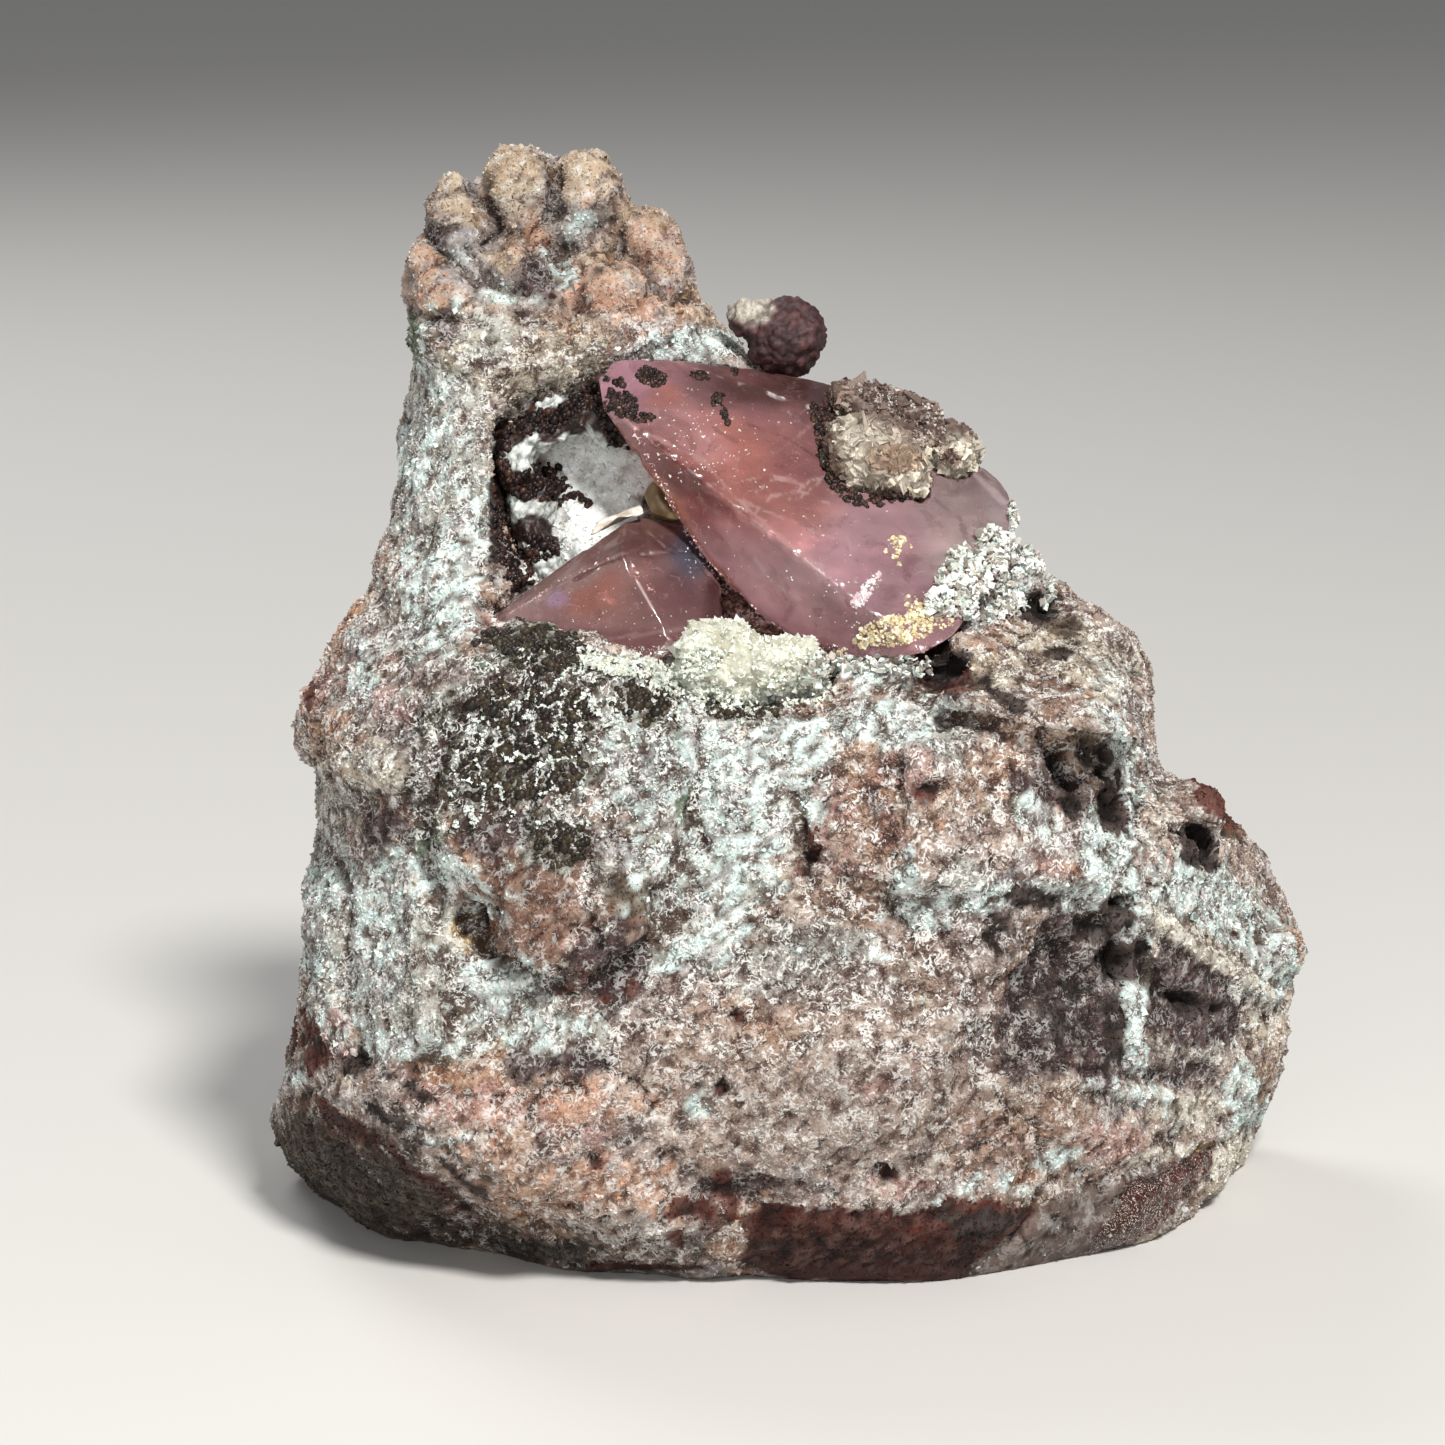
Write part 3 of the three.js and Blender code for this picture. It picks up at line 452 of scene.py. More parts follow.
        (1130, 1010, 7, 60, 0, 1.5), (1100, 928, 30, 10, 30, 1.3), (1133, 985, 6, 80, 0, 1.4),
        (1113, 738, 12, 30, -10, 1.2), (1188, 907, 26, 20, 20, 1.2), (1220, 905, 60, 30, 30, 1.0),
        (1272, 964, 24, 30, -20, 1.6), (1242, 1094, 16, 24, 0, 1.6), (1222, 1150, 10, 40, 20, .8),
        (690, 960, 40, 22, 0, .8), (700, 1120, 16, 40, 0, .5), (952, 1207, 9, 9, 0, 1.3),
        (980, 1207, 7, 6, 0, 1.3), (1001, 1215, 7, 7, 0, 1.3), (850, 960, 70, 12, -4, .5),
        (1058, 1156, 22, 12, 0, .9), (570, 232, 24, 12, -40, 1.0), (555, 265, 16, 20, 20, .6),
        (480, 300, 60, 14, 0, .5), (1010, 1185, 60, 14, 0, .5), (450, 1140, 22, 5, -12, 1.4),
        (500, 300, 16, 14, 0, .6), (424, 345, 8, 30, 0, .7), (467, 244, 14, 9, 0, .9),
        (1150, 1100, 60, 16, 10, .5), (770, 800, 60, 60, 0, .7), (590, 610, 200, 14, 0, .4),
        (360, 950, 80, 90, 0, .5), (620, 770, 60, 70, 0, .6), (650, 890, 40, 60, 0, .5),
        (470, 900, 60, 40, 0, .5), (430, 470, 40, 50, 0, .6), (490, 1000, 50, 40, 0, .7),
        (395, 905, 60, 50, 0, .6)],
    "coat": [
        (590, 455, 46, 30, 0, 1.2), (590, 515, 50, 50, 0, 1.4), (560, 570, 46, 30, -30, 1.3),
        (535, 440, 26, 16, 0, 1.1), (640, 470, 20, 30, 0, 1.0)],
    "smooth": [(470, 1190, 90, 9, 38, .7), (760, 1280, 300, 12, 0, .8)],
    # The shade patches are painted shade: the rock's colour is darkened there, most on the underside low on
    # the front.
    "shade": [
        (360, 1190, 110, 54, 32, .7), (500, 1246, 150, 20, 12, .8), (640, 1276, 120, 10, 4, .8),
        (860, 1262, 200, 30, 0, .6), (1080, 1240, 80, 50, -30, .6), (408, 770, 16, 60, 0, .4),
        (870, 1100, 150, 70, 0, .31), (655, 770, 34, 44, 0, .4), (820, 920, 50, 40, 0, .26),
        (550, 1000, 50, 36, 0, .2), (1050, 1000, 40, 50, 0, .26), (550, 235, 150, 70, 0, .2),
        (520, 730, 80, 70, 0, .5)],
    "ridge": [
        (1209, 950, 74, 13, 34, 1.3), (1165, 820, 16, 40, 0, .6), (1200, 1110, 30, 24, 0, .7),
        (1225, 1160, 12, 36, 25, 1.0), (1150, 1160, 60, 9, -20, .7)],
    "brown": [
        (526, 905, 50, 60, 0, 1.1), (600, 940, 70, 40, 0, .6), (1230, 812, 40, 16, 40, .8),
        (1048, 1040, 60, 60, 0, .5), (340, 1130, 70, 14, 36, .9), (1060, 700, 30, 20, 20, .6),
        (300, 1060, 20, 40, 0, .6)],
}

# Outlines that more than one stain takes: the streaked grey facet at the lower right, and the glossy
# triangle beside it.
GREY_FACET = (
    (1039, 1208), (1082, 1193), (1125, 1182), (1111, 1211), (1093, 1247), (1082, 1276), (1024, 1290),
    (960, 1287), (981, 1258), (1010, 1233),
)
GLOSSY_TRIANGLE = (
    (1125, 1184), (1168, 1168), (1215, 1143), (1204, 1168), (1182, 1200), (1154, 1229), (1118, 1254),
    (1093, 1268), (1093, 1247), (1111, 1211),
)

# The stained areas with a shape of their own: an outline and a strength.
AREAS = {
    "oxide": (
        ((
            (763, 1206), (809, 1209), (866, 1208), (917, 1211), (945, 1201), (996, 1202), (1039, 1208),
            (1010, 1233), (981, 1258), (960, 1279), (917, 1283), (860, 1285), (816, 1283), (766, 1276),
            (738, 1262), (748, 1240), (736, 1216)), 1.4),
        (GLOSSY_TRIANGLE, 1.5),
        (((712, 1168), (734, 1172), (742, 1220), (722, 1226)), 0.9)),
    "dark": (
        (((1100, 775), (1121, 775), (1128, 806), (1125, 831), (1109, 825), (1097, 800)), 1.4),
        (((1087, 898), (1131, 902), (1134, 925), (1104, 929)), 1.2),
        (((1106, 948), (1134, 950), (1134, 978), (1110, 976)), 1.4),
        (((1180, 825), (1200, 822), (1217, 850), (1212, 868), (1196, 858), (1188, 840)), 1.0),
        (((921, 650), (950, 640), (971, 655), (965, 689), (935, 680)), 0.9),
        (((940, 1205), (1000, 1206), (1036, 1209), (1005, 1236), (960, 1240)), 0.8)),
    "green": (
        ((
            (483, 631), (526, 621), (557, 618), (581, 637), (588, 658), (612, 665), (600, 683), (569, 692),
            (526, 677), (495, 665)), 1.3),
        ((
            (421, 714), (458, 686), (495, 692), (538, 698), (569, 692), (575, 738), (551, 751), (581, 766),
            (588, 788), (563, 797), (526, 806), (483, 818), (446, 824), (415, 812), (412, 775),
            (424, 744)), 1.3),
        (((612, 665), (649, 671), (680, 683), (689, 714), (674, 738), (649, 732), (625, 683)), 1.1),
        (((526, 812), (575, 824), (588, 837), (569, 868), (514, 868), (526, 843)), 1.0)),
    "smooth": ((GREY_FACET, 1.2), (GLOSSY_TRIANGLE, 1.2)),
    "stone": ((GREY_FACET, 1.4),),
    "gloss": ((GLOSSY_TRIANGLE, 1.4),),
    "mint": (
        (((1094, 840), (1112, 826), (1130, 838), (1138, 870), (1136, 900), (1112, 896), (1098, 870)), 1.5),
        ((
            (905, 892), (960, 897), (1010, 892), (1060, 887), (1120, 880), (1124, 899), (1060, 903),
            (1000, 906), (950, 912), (930, 926), (912, 918), (900, 905)), 1.3),
        (((897, 870), (905, 850), (918, 830), (926, 850), (918, 880), (908, 896), (896, 890)), 1.0),
        (((1150, 880), (1200, 884), (1240, 910), (1262, 950), (1236, 948), (1196, 914), (1156, 900)), 1.1),
        (((1126, 790), (1142, 790), (1141, 850), (1120, 850)), 1.4),
        (((1128, 890), (1141, 890), (1140, 935), (1130, 935)), 1.3),
        (((1106, 708), (1118, 716), (1132, 745), (1142, 776), (1140, 800), (1128, 780), (1118, 745)), 1.3),
        (((1130, 925), (1138, 925), (1140, 980), (1134, 1040), (1124, 1060), (1126, 1000)), 1.5)),
    "violet": (
        ((
            (1044, 900), (1090, 905), (1132, 930), (1130, 1060), (1100, 1088), (1020, 1084), (985, 1064),
            (1000, 990)), 0.85),
        (((1045, 739), (1069, 757), (1088, 788), (1085, 812), (1063, 806), (1038, 775), (1032, 751)), 1.0),
        (((1150, 930), (1200, 955), (1245, 990), (1240, 1040), (1190, 1052), (1146, 1030)), 0.9)),
}

# Knobs that stand out on the front, and holes in it.
# Each one is x, y, half width, half height, turn in degrees and millimetres of height or depth.
KNOBS = (
    (455, 176, 20, 16, 0, .6), (455, 222, 34, 28, 0, .8), (518, 188, 38, 44, 0, .9),
    (590, 184, 33, 42, 0, .9), (641, 222, 29, 32, 0, .9), (675, 268, 24, 30, -20, .8),
    (415, 252, 19, 20, 0, .8), (440, 288, 34, 24, 0, .9), (512, 262, 26, 26, 0, .8),
    (545, 300, 30, 20, -10, .5), (612, 286, 36, 26, 10, .8), (560, 236, 24, 16, -40, .5),
    (700, 315, 24, 14, 30, .5), (350, 650, 44, 50, 0, .7), (320, 700, 24, 34, 0, .8),
    (370, 775, 50, 40, 0, .8), (470, 610, 50, 40, 0, .6), (540, 910, 56, 56, 0, .8),
    (620, 905, 26, 44, 0, .6), (340, 930, 50, 60, 0, .6), (400, 1000, 60, 50, 0, .6),
    (1110, 1140, 56, 40, 0, .9), (1165, 1112, 34, 26, 0, .6), (1190, 955, 44, 40, 30, .8),
    (1200, 800, 50, 24, 25, .7), (1190, 1060, 50, 34, 0, .6), (900, 780, 70, 60, 0, .7),
    (990, 830, 60, 54, 0, .6), (850, 850, 44, 60, 0, .5), (1080, 690, 50, 40, 0, .7),
    (740, 780, 50, 60, 0, .4), (720, 900, 46, 50, 0, .4), (960, 700, 40, 26, 20, .5),
    (640, 760, 40, 60, 0, .5), (1250, 980, 36, 50, 0, .6), (580, 1120, 70, 40, -10, .5),
    (900, 1130, 110, 50, 0, .4), (740, 1130, 80, 60, 0, .4), (400, 1110, 50, 26, 30, .5),
    (1238, 1100, 26, 40, 0, .5),
)
HOLES = (
    (1073, 806, 10, 14, -30, .7), (1104, 758, 9, 18, 0, 1.2), (1112, 806, 12, 22, 10, 1.2),
    (1086, 750, 7, 10, 0, .8), (1120, 902, 11, 10, 0, 1.6), (1094, 926, 20, 12, 10, .8),
    (1113, 966, 17, 17, 0, 1.8), (945, 662, 22, 14, 30, .8), (1192, 1003, 27, 10, 14, 1.3),
    (1187, 836, 17, 6, 35, .9), (1206, 850, 9, 13, -10, .9), (1202, 864, 15, 6, 20, .8),
    (1036, 950, 5, 12, 0, .3), (890, 1178, 10, 9, 0, 1.0), (720, 1088, 7, 10, 20, .9),
    (594, 1160, 6, 6, 0, .7), (604, 1224, 6, 6, 0, .8), (930, 788, 14, 8, 0, .5),
    (805, 668, 26, 12, 35, .9), (697, 1085, 4, 4, 0, .5), (735, 1015, 7, 6, 0, .6), (816, 854, 7, 9, 0, .7),
    (408, 770, 8, 30, 0, .5), (424, 318, 12, 8, 0, .6), (352, 1060, 16, 8, 30, .7),
    (1000, 940, 14, 26, -30, .4), (1046, 950, 22, 26, 0, .5), (1042, 606, 16, 14, 0, .6),
    (556, 222, 8, 10, 0, .6),
)
# Cracks and steps on the front: places, half width, and depth in millimetres, raised where negative.
GROOVES = (
    (((482, 176), (490, 206), (492, 240)), 6, .9), (((553, 158), (556, 190), (550, 226)), 6, .9),
    (((470, 250), (500, 288), (530, 296)), 6, .5), (((612, 200), (622, 232), (612, 262)), 5, .5),
    (((428, 238), (448, 262), (476, 280)), 5, .5), (((536, 232), (528, 262), (545, 286)), 5, .5),
    (((395, 310), (440, 316), (478, 322)), 5, .6), (((580, 262), (586, 300), (570, 318)), 4, .4),
    (((655, 286), (680, 300), (700, 300)), 4, .4),
    (((700, 705), (704, 760), (697, 800), (703, 850)), 6, .6),
    (((796, 795), (804, 850), (813, 882)), 7, .8),
    (((892, 880), (886, 900), (910, 926), (952, 936)), 4, .35),
    (((442, 735), (426, 790), (422, 835)), 8, .6), (((484, 944), (502, 966), (562, 988)), 7, .7),
    (((482, 908), (486, 934)), 4, .4), (((600, 1068), (638, 1084), (656, 1106)), 3, .5),
    (((1138, 742), (1140, 800), (1136, 836)), 4, .6), (((880, 722), (905, 745), (900, 790)), 5, .4),
    (((386, 1104), (440, 1146), (500, 1196), (570, 1246)), 6, .3), (((760, 985), (830, 986)), 4, .3),
    (((590, 830), (588, 900), (600, 950)), 6, .6), (((1040, 736), (1062, 772), (1084, 806)), 6, .6),
    (((1136, 836), (1134, 900), (1134, 1000), (1134, 1062)), 5, -.5),
    (((640, 700), (560, 750), (430, 760)), 6, -.25), (((1012, 700), (1050, 716), (1076, 730)), 6, .5),
    (((1146, 912), (1200, 950), (1269, 997)), 8, -.5), (((820, 1000), (905, 1004)), 4, -.3),
    (((350, 1045), (330, 1080), (300, 1095)), 7, .5), (((1000, 1080), (1080, 1084), (1180, 1096)), 8, -.4),
    (((1000, 1100), (1040, 1130), (1050, 1180)), 5, .4), (((1036, 1190), (1040, 1215), (990, 1260)), 5, .5),
    (((1100, 1210), (1160, 1180), (1222, 1140)), 5, .5), (((330, 850), (350, 900), (340, 960)), 6, .4),
    (((420, 860), (440, 900), (430, 950)), 5, .4), (((700, 1190), (760, 1180), (840, 1200)), 4, .3),
    (((640, 1010), (700, 1030), (770, 1020)), 4, .3), (((690, 960), (720, 990), (716, 1010)), 4, .4),
    (((655, 640), (690, 672), (700, 700)), 5, .4),
)

# The tints of each stain, the share that it can cover, and how finely its edge breaks up.
# Later ones lie on top.
TINTS = {
    "cream": ([(200, 189, 166), (182, 170, 148), (214, 205, 186)], 0.85, 1.4),
    "tan": ([(192, 162, 130), (170, 140, 110), (208, 184, 152)], 0.85, 1.3),
    "blush": ([(202, 180, 166), (184, 160, 147), (216, 198, 185)], 0.88, 1.3),
    "frost": ([(172, 176, 168), (152, 156, 149), (190, 195, 187)], 0.75, 1.3),
    "grey": ([(140, 130, 123), (118, 109, 103), (162, 152, 144)], 0.80, 1.5),
    "rose": ([(190, 144, 134), (168, 120, 113), (204, 162, 152)], 0.70, 1.0),
    "peach": ([(204, 152, 122), (180, 126, 98), (216, 176, 150)], 0.82, 1.0),
    "ochre": ([(198, 170, 108), (172, 142, 84), (212, 190, 132)], 0.95, 0.5),
    "umber": ([(76, 60, 44), (54, 41, 31), (104, 86, 64)], 0.94, 1.2),
    "brown": ([(116, 80, 62), (88, 58, 47), (142, 106, 84)], 0.88, 1.1),
    "stone": ([(150, 128, 118), (132, 112, 104), (168, 146, 134)], 0.95, 1.0),
    "violet": ([(62, 43, 42), (42, 28, 29), (94, 70, 66)], 0.96, 1.4),
    "mint": ([(224, 245, 242), (203, 226, 222), (184, 206, 202), (243, 253, 251)], 0.97, 0.8),
    "oxide": ([(76, 32, 24), (48, 22, 18), (112, 52, 36)], 0.98, 0.9),
    "green": ([(46, 45, 30), (32, 31, 24), (66, 60, 38)], 0.97, 1.2),
    "leaf": ([(92, 112, 88), (74, 92, 70), (116, 136, 110)], 0.85, 0.9),
    "dark": ([(44, 31, 27), (29, 20, 18), (64, 47, 40)], 0.97, 0.9),
    "coat": ([(243, 248, 245), (234, 241, 238), (249, 250, 248)], 1.0, 0.8),
    "ridge": ([(228, 221, 204), (210, 202, 184), (240, 235, 222)], 0.92, 0.8),
}
# Stains with a crisp edge, and outlined ones that keep to their outline.
CRISP_STAINS = ("ridge", "oxide", "dark", "green", "coat", "smooth", "gloss", "leaf", "ochre")
NEAT_AREAS = ("oxide", "smooth", "stone", "gloss")
# How far each dark stain keeps pale flecks away.
DARKENING = {"umber": 1.0, "brown": 0.6, "violet": 0.6, "oxide": 1.0, "dark": 1.0}
# Pale grains and flecks, also the tint of the painted highlight on raised grains, and how far the painted
# shade between grains and in hollows takes each colour channel down.
FLECK = (240, 238, 232)
GAP_DIMMED = np.array((0.58, 0.67, 0.71))
HOLLOW_DIMMED = np.array((0.58, 0.66, 0.70))


def within(x, y, patch):
    """How far x and y lie from the middle of a patch, where 1 is its edge."""
    px, py, rx, ry, turn = patch[:5]
    c, s = math.cos(math.radians(turn)), math.sin(math.radians(turn))
    return np.hypot(((x - px) * c + (y - py) * s) / rx, ((y - py) * c - (x - px) * s) / ry)


def in_box(x, y, box):
    left, right, top, bottom = box
    return (x > left) & (x < right) & (y > top) & (y < bottom)


def segments(spots):
    """The straight pieces from each spot to the next."""
    spots = [np.array(spot, dtype=float) for spot in spots]
    return list(zip(spots[:-1], spots[1:]))


def towards(colour, tint, share):
    """Colours moved towards a tint, each by its share."""
    return colour + (np.array(tint, dtype=float) - colour) * share[:, None]


def inside(x, y, outline):
    """How far inside an outline each place lies, and how far outside where negative."""
    ends = segments(outline + outline[:1])
    odd = np.zeros(len(x), dtype=bool)
    for (ax, ay), (bx, by) in ends:
        odd ^= ((ay > y) != (by > y)) & (x < (bx - ax) * (y - ay) / (by - ay if by != ay else 1e-9) + ax)
    return far_from_lines(np.stack([x, y], axis=1), ends) * np.where(odd, 1, -1)


def stain(points, name, facing):
    """How strongly a stain lies on each point: the list's patches, and their mirrored likes on the back."""
    x, y = seen(points)
    x = np.where(facing < 0, MIRROR_X - x, x)
    total = np.zeros(len(points))
    if name in AREAS:
        wander, edge = (7, 4) if name in NEAT_AREAS else (18, 14)
        near_x = x + wander * rough_noise(points, 1.6, 23, 4)
        near_y = y + wander * rough_noise(points, 1.6, 33, 4)
        for outline, strength in AREAS[name]:
            total = np.maximum(total, strength * ramp(inside(near_x, near_y, outline), -edge, edge))
    crisp = name in CRISP_STAINS
    drift = 9 if crisp else 18
    x = x + drift * rough_noise(points, 3.0, 21, 4)
    y = y + drift * rough_noise(points, 3.0, 31, 4)
    inner, outer = (0.5, 1.35) if crisp else (0.2, 1.8)
    for patch in STAINS.get(name, ()):
        total = np.maximum(total, patch[5] * (1 - ramp(within(x, y, patch), inner, outer)))
    return total


def rock_colour(points, facing, seed, spread):
    """Colours for points on the rock: pinkish beige, with the stains over it, and painted shade between the
    grains and in the shade patches.

    Spread is how far each point's colour differs from its neighbours'.
    """
    count = len(points)
    chance = np.random.default_rng(seed)
    broad = rough_noise(points, 7.0, 201)
    middle = rough_noise(points, 2.2, 211)
    small = rough_noise(points, 0.75, 221, 2)
    colour = np.array((165, 142, 129.0)) + broad[:, None] * np.array((12, 18, 20.0))
    colour = colour + middle[:, None] * np.array((24, 26, 26.0)) + small[:, None] * np.array((22, 22, 22.0))
    colour = colour + rough_noise(points, 3.4, 206, 3)[:, None] * np.array((22, 0, -20.0))
    # Beads lie in cells, with white crust in the seams between them.
    near, second, mark = cells(points, 0.85, 231)
    seam = (second - near < 0.14) & (mark > 0.35)
    darkened = np.zeros(count)
    for number, (name, (tints, most, size)) in enumerate(TINTS.items()):
        fine = (chance.random(count) - 0.5) * spread
        edge = rough_noise(points, size, 241 + 10 * number, 4)
        level = stain(points, name, facing) - 0.52 + 0.55 * edge + 0.16 * fine
        if name == "mint":
            level = level + 0.05 + 0.10 * ramp(broad, -0.2, 0.6)
        share = ramp(level, -0.08, 0.12) * most
        tints = np.array(tints, dtype=float)
        own = tints[(chance.random(count) * len(tints)).astype(int)]
        tint = tints.mean(axis=0) + (own - tints.mean(axis=0)) * spread * 0.7
        colour = towards(colour, tint, share)
        if name == "green":
            crust = ramp(share, 0.3, 0.8) * seam
            colour = towards(colour, (218, 222, 215), 0.7 * crust)
        if name == "mint":
            minty = share
            worn = ramp(rough_noise(points, 0.9, 298, 3), 0.12, 0.34) * share
            colour = towards(colour, (112, 100, 98), 0.65 * worn)
        if name in DARKENING:
            darkened = np.maximum(darkened, DARKENING[name] * share)
    # Pale flecks, and painted shade between the grains, both a few grains wide.
    flecks = ramp(rough_noise(points, 0.50, 291, 2) + 0.4 * spread * (chance.random(count) - 0.5), 0.26, 0.46)
    colour = towards(colour, FLECK, flecks * 0.70 * (1 - 0.96 * darkened))
    coat = stain(points, "coat", facing)
    gap_shade = ramp(rough_noise(points, 0.55, 296, 2) + 0.4 * spread * (chance.random(count) - 0.5), 0.24, 0.44)
    gap_shade = gap_shade * (1 - 0.85 * np.clip(coat, 0, 1))
    colour = colour * (1 - gap_shade[:, None] * GAP_DIMMED)
    colour = colour * np.exp(spread * 0.08 * chance.standard_normal(count))[:, None]
    # Painted shade where the shade patches lie, and a little lighter on the white crusts.
    crusted = np.clip(coat + 0.8 * minty, 0, 1)
    shaded = np.clip(stain(points, "shade", facing), 0, 1)
    light = 0.92 + 0.08 * crusted - 0.55 * shaded
    return colour * light[:, None], darkened, gap_shade


def plain_of(points, darkened):
    """How far the pale curls fade out: on dark stains, on the crest and low on the front."""
    x, y = seen(points)
    crest, foot = 1 - ramp(y, 300, 350), ramp(y, 1030, 1090)
    zone = np.maximum(np.maximum(0.7 * crest, 0.35 * foot), 0.75 * in_box(x, y, COATED_WALL))
    return np.clip(np.maximum(darkened, zone), 0, 1)


def front_forms(points, facing):
    """Millimetres by which the knobs stand out and the holes, cracks and steps are cut in, and how deep each
    point is sunk, which sets the painted shade in holes and cracks.
    """
    x, y = seen(points)
    x = x + 5 * rough_noise(points, 1.6, 261, 3)
    y = y + 5 * rough_noise(points, 1.6, 271, 3)
    wide_x = x + 14 * rough_noise(points, 2.8, 263, 2)
    wide_y = y + 14 * rough_noise(points, 2.8, 273, 2)
    knobs, near_knobs = np.zeros(len(points)), np.zeros(len(points))
    for patch in KNOBS:
        crest = patch[1] < CREST_Y
        far = within(x, y, patch) if crest else within(wide_x, wide_y, patch)
        high = patch[5] * (0.9 if crest else 0.5)
        rise = high * (np.sqrt(np.clip(1 - far ** 2, 0, 1)) if crest else 1 - ramp(far, 0.4, 1.15))
        knobs = np.maximum(knobs, rise)
        near_knobs = np.maximum(near_knobs, high * (1 - ramp(far, 0.8, 1.6)))
    cut = np.zeros(len(points))
    ragged = 0.5 * rough_noise(points, 0.9, 268, 3)
    for patch in HOLES:
        cut = np.maximum(cut, patch[5] * (1 - ramp(within(x, y, patch) + ragged, 0.5, 1.25)))
    flat = np.stack([x, y], axis=1)
    line_cut = np.zeros(len(points))
    for line, width, depth in GROOVES:
        gap = far_from_lines(flat, segments(line))
        here = depth * (1 - ramp(gap, 0.1 * width, 1.6 * width))
        line_cut = np.where(np.abs(here) > np.abs(line_cut), here, line_cut)
    seen_side = ramp(facing, 0.2, 0.6)
    sunk = np.maximum(cut, 0.6 * line_cut)
    return (knobs - 0.5 * near_knobs - cut - line_cut) * seen_side, sunk * seen_side


def far_from_lines(points, ends):
    """Distance of each point to the nearest of the segments."""
    best = np.full(len(points), 999.0)
    for a, b in ends:
        d = b - a
        t = np.clip((points - a) @ d / max(d @ d, 1e-9), 0, 1)
        best = np.minimum(best, np.linalg.norm(points - a - t[:, None] * d, axis=1))
    return best


def facing_of(points, normals):
    """How far each surface faces the eye: above 0 on the front, below 0 on the back."""
    sight = place(EYE_U, EYE_V, EYE_DISTANCE) - points
    return np.einsum("ij,ij->i", normals, sight / np.linalg.norm(sight, axis=1)[:, None]) + RIM_SHARE


# The rock: a fine copy of the solid, roughened into clods, crevices and small pocks.
# The ledge under the crest and the block under the large crystal are evener than the rest of it.
LEDGE, EVEN_BLOCK = (490, 372, 140, 48, 0), (930, 810, 130, 90, 0)
rock_mesh = fine_copy("rock", "matrix_rock", 0.402, 4)
grid_x, grid_y = seen(points_of(rock_mesh))
step = 1 - ramp(within(grid_x, grid_y, LEDGE), 0.6, 1.0)
even_out(rock_mesh, 30, 1 - step * (grid_x < 640))
p = points_of(rock_mesh)
n = normals_of(rock_mesh)
facing = facing_of(p, n)
calm = np.clip(stain(p, "smooth", facing), 0, 1)
grid_x, grid_y = seen(p)
even_block = 1 - ramp(within(grid_x, grid_y, EVEN_BLOCK), 0.7, 1.3)
broken = 1 - 0.6 * ramp(grid_y, 990, 1080) - 0.4 * even_block
broken = np.minimum(broken, 0.35 + 0.65 * ramp(grid_y, 300, 420))
rugged = broken * (0.35 + 0.65 * ramp(rough_noise(p, 9.0, 45), -0.3, 0.4))
lumps = rough_noise(p, 4.2, 41, 3)
warp = 0.5 * np.stack([rough_noise(p, 1.5, 46 + k) for k in range(3)], axis=1)
near, second, mark = cells(p + warp, 2.3, 51)
clods = ramp(second - near, 0.0, 0.45) * (0.35 + 0.65 * mark)
level = rough_noise(p + warp, 2.0, 61, 4) * 4.5
flakes = (np.floor(level) + ramp(level - np.floor(level), 0.25, 0.75)) / 4.5
near2, second2, mark2 = cells(p + 0.8 * warp, 0.75, 66)
grit = ramp(second2 - near2, 0.0, 0.5) * (0.2 + 0.8 * mark2)
fine = rough_noise(p, 0.7, 81, 2)
near3, _, mark3 = cells(p, 2.8, 71)
pocks = (1 - ramp(near3, 0.08, 0.17)) * (mark3 > 0.5)
forms, sunk = front_forms(p, facing)
rough_part = rugged * (0.26 * clods - 0.15) + 0.42 * flakes + 0.16 * grit + 0.12 * fine - 0.08 - 0.5 * pocks
coated = np.clip(stain(p, "coat", facing), 0, 1)
folds = 1 - np.clip(np.abs(rough_noise(p + 2 * warp, 1.9, 91, 2)) * 3.5, 0, 1)
rough_part = rough_part * (1 - 0.8 * coated) + coated * (0.32 * folds - 0.12)
raised = 0.36 * lumps * (1 - 0.6 * calm) + rough_part * (1 - 0.85 * calm) + forms
raised *= ramp(p[:, 2], 0.15, 1.2)
p = p + n * raised[:, None]
p[:, 2] = np.maximum(p[:, 2], 0)
set_points(rock_mesh, p)
# Painted shade: the colour is darker in the rock's hollows and in its cut holes and cracks, and paler on
# raised points as a painted highlight.
close, wide = hollowness(rock_mesh, 3), hollowness(rock_mesh, 15)
hollow_shade = 0.7 * ramp(close, 0.0, 0.10) + 0.35 * ramp(wide, 0.08, 0.6)
crest = grid_y < CREST_Y
soft = np.clip(calm + 1.3 * coated + 0.4 * crest, 0, 1)
hollow_shade = np.clip(hollow_shade * (1 - 0.7 * soft) + ramp(sunk, 0.25, 1.0) * (1 - 0.5 * crest), 0, 1)
proud_highlight = ramp(-close, 0.0, 0.09) * (1 - calm)
colour, darkened, _ = rock_colour(p, facing, 301, 0.0)
colour = towards(colour, (238, 236, 230), 0.16 * proud_highlight)
set_colour(rock_mesh, colour * (1 - hollow_shade[:, None] * HOLLOW_DIMMED))
set_attribute(rock_mesh, "calm", calm)
set_attribute(rock_mesh, "plain", plain_of(p, darkened))
set_attribute(rock_mesh, "gloss", np.clip(stain(p, "gloss", facing), 0, 1))
rock_mesh.polygons.foreach_set("use_smooth", np.full(len(rock_mesh.polygons), True))
rock = make_object("rock", rock_mesh)

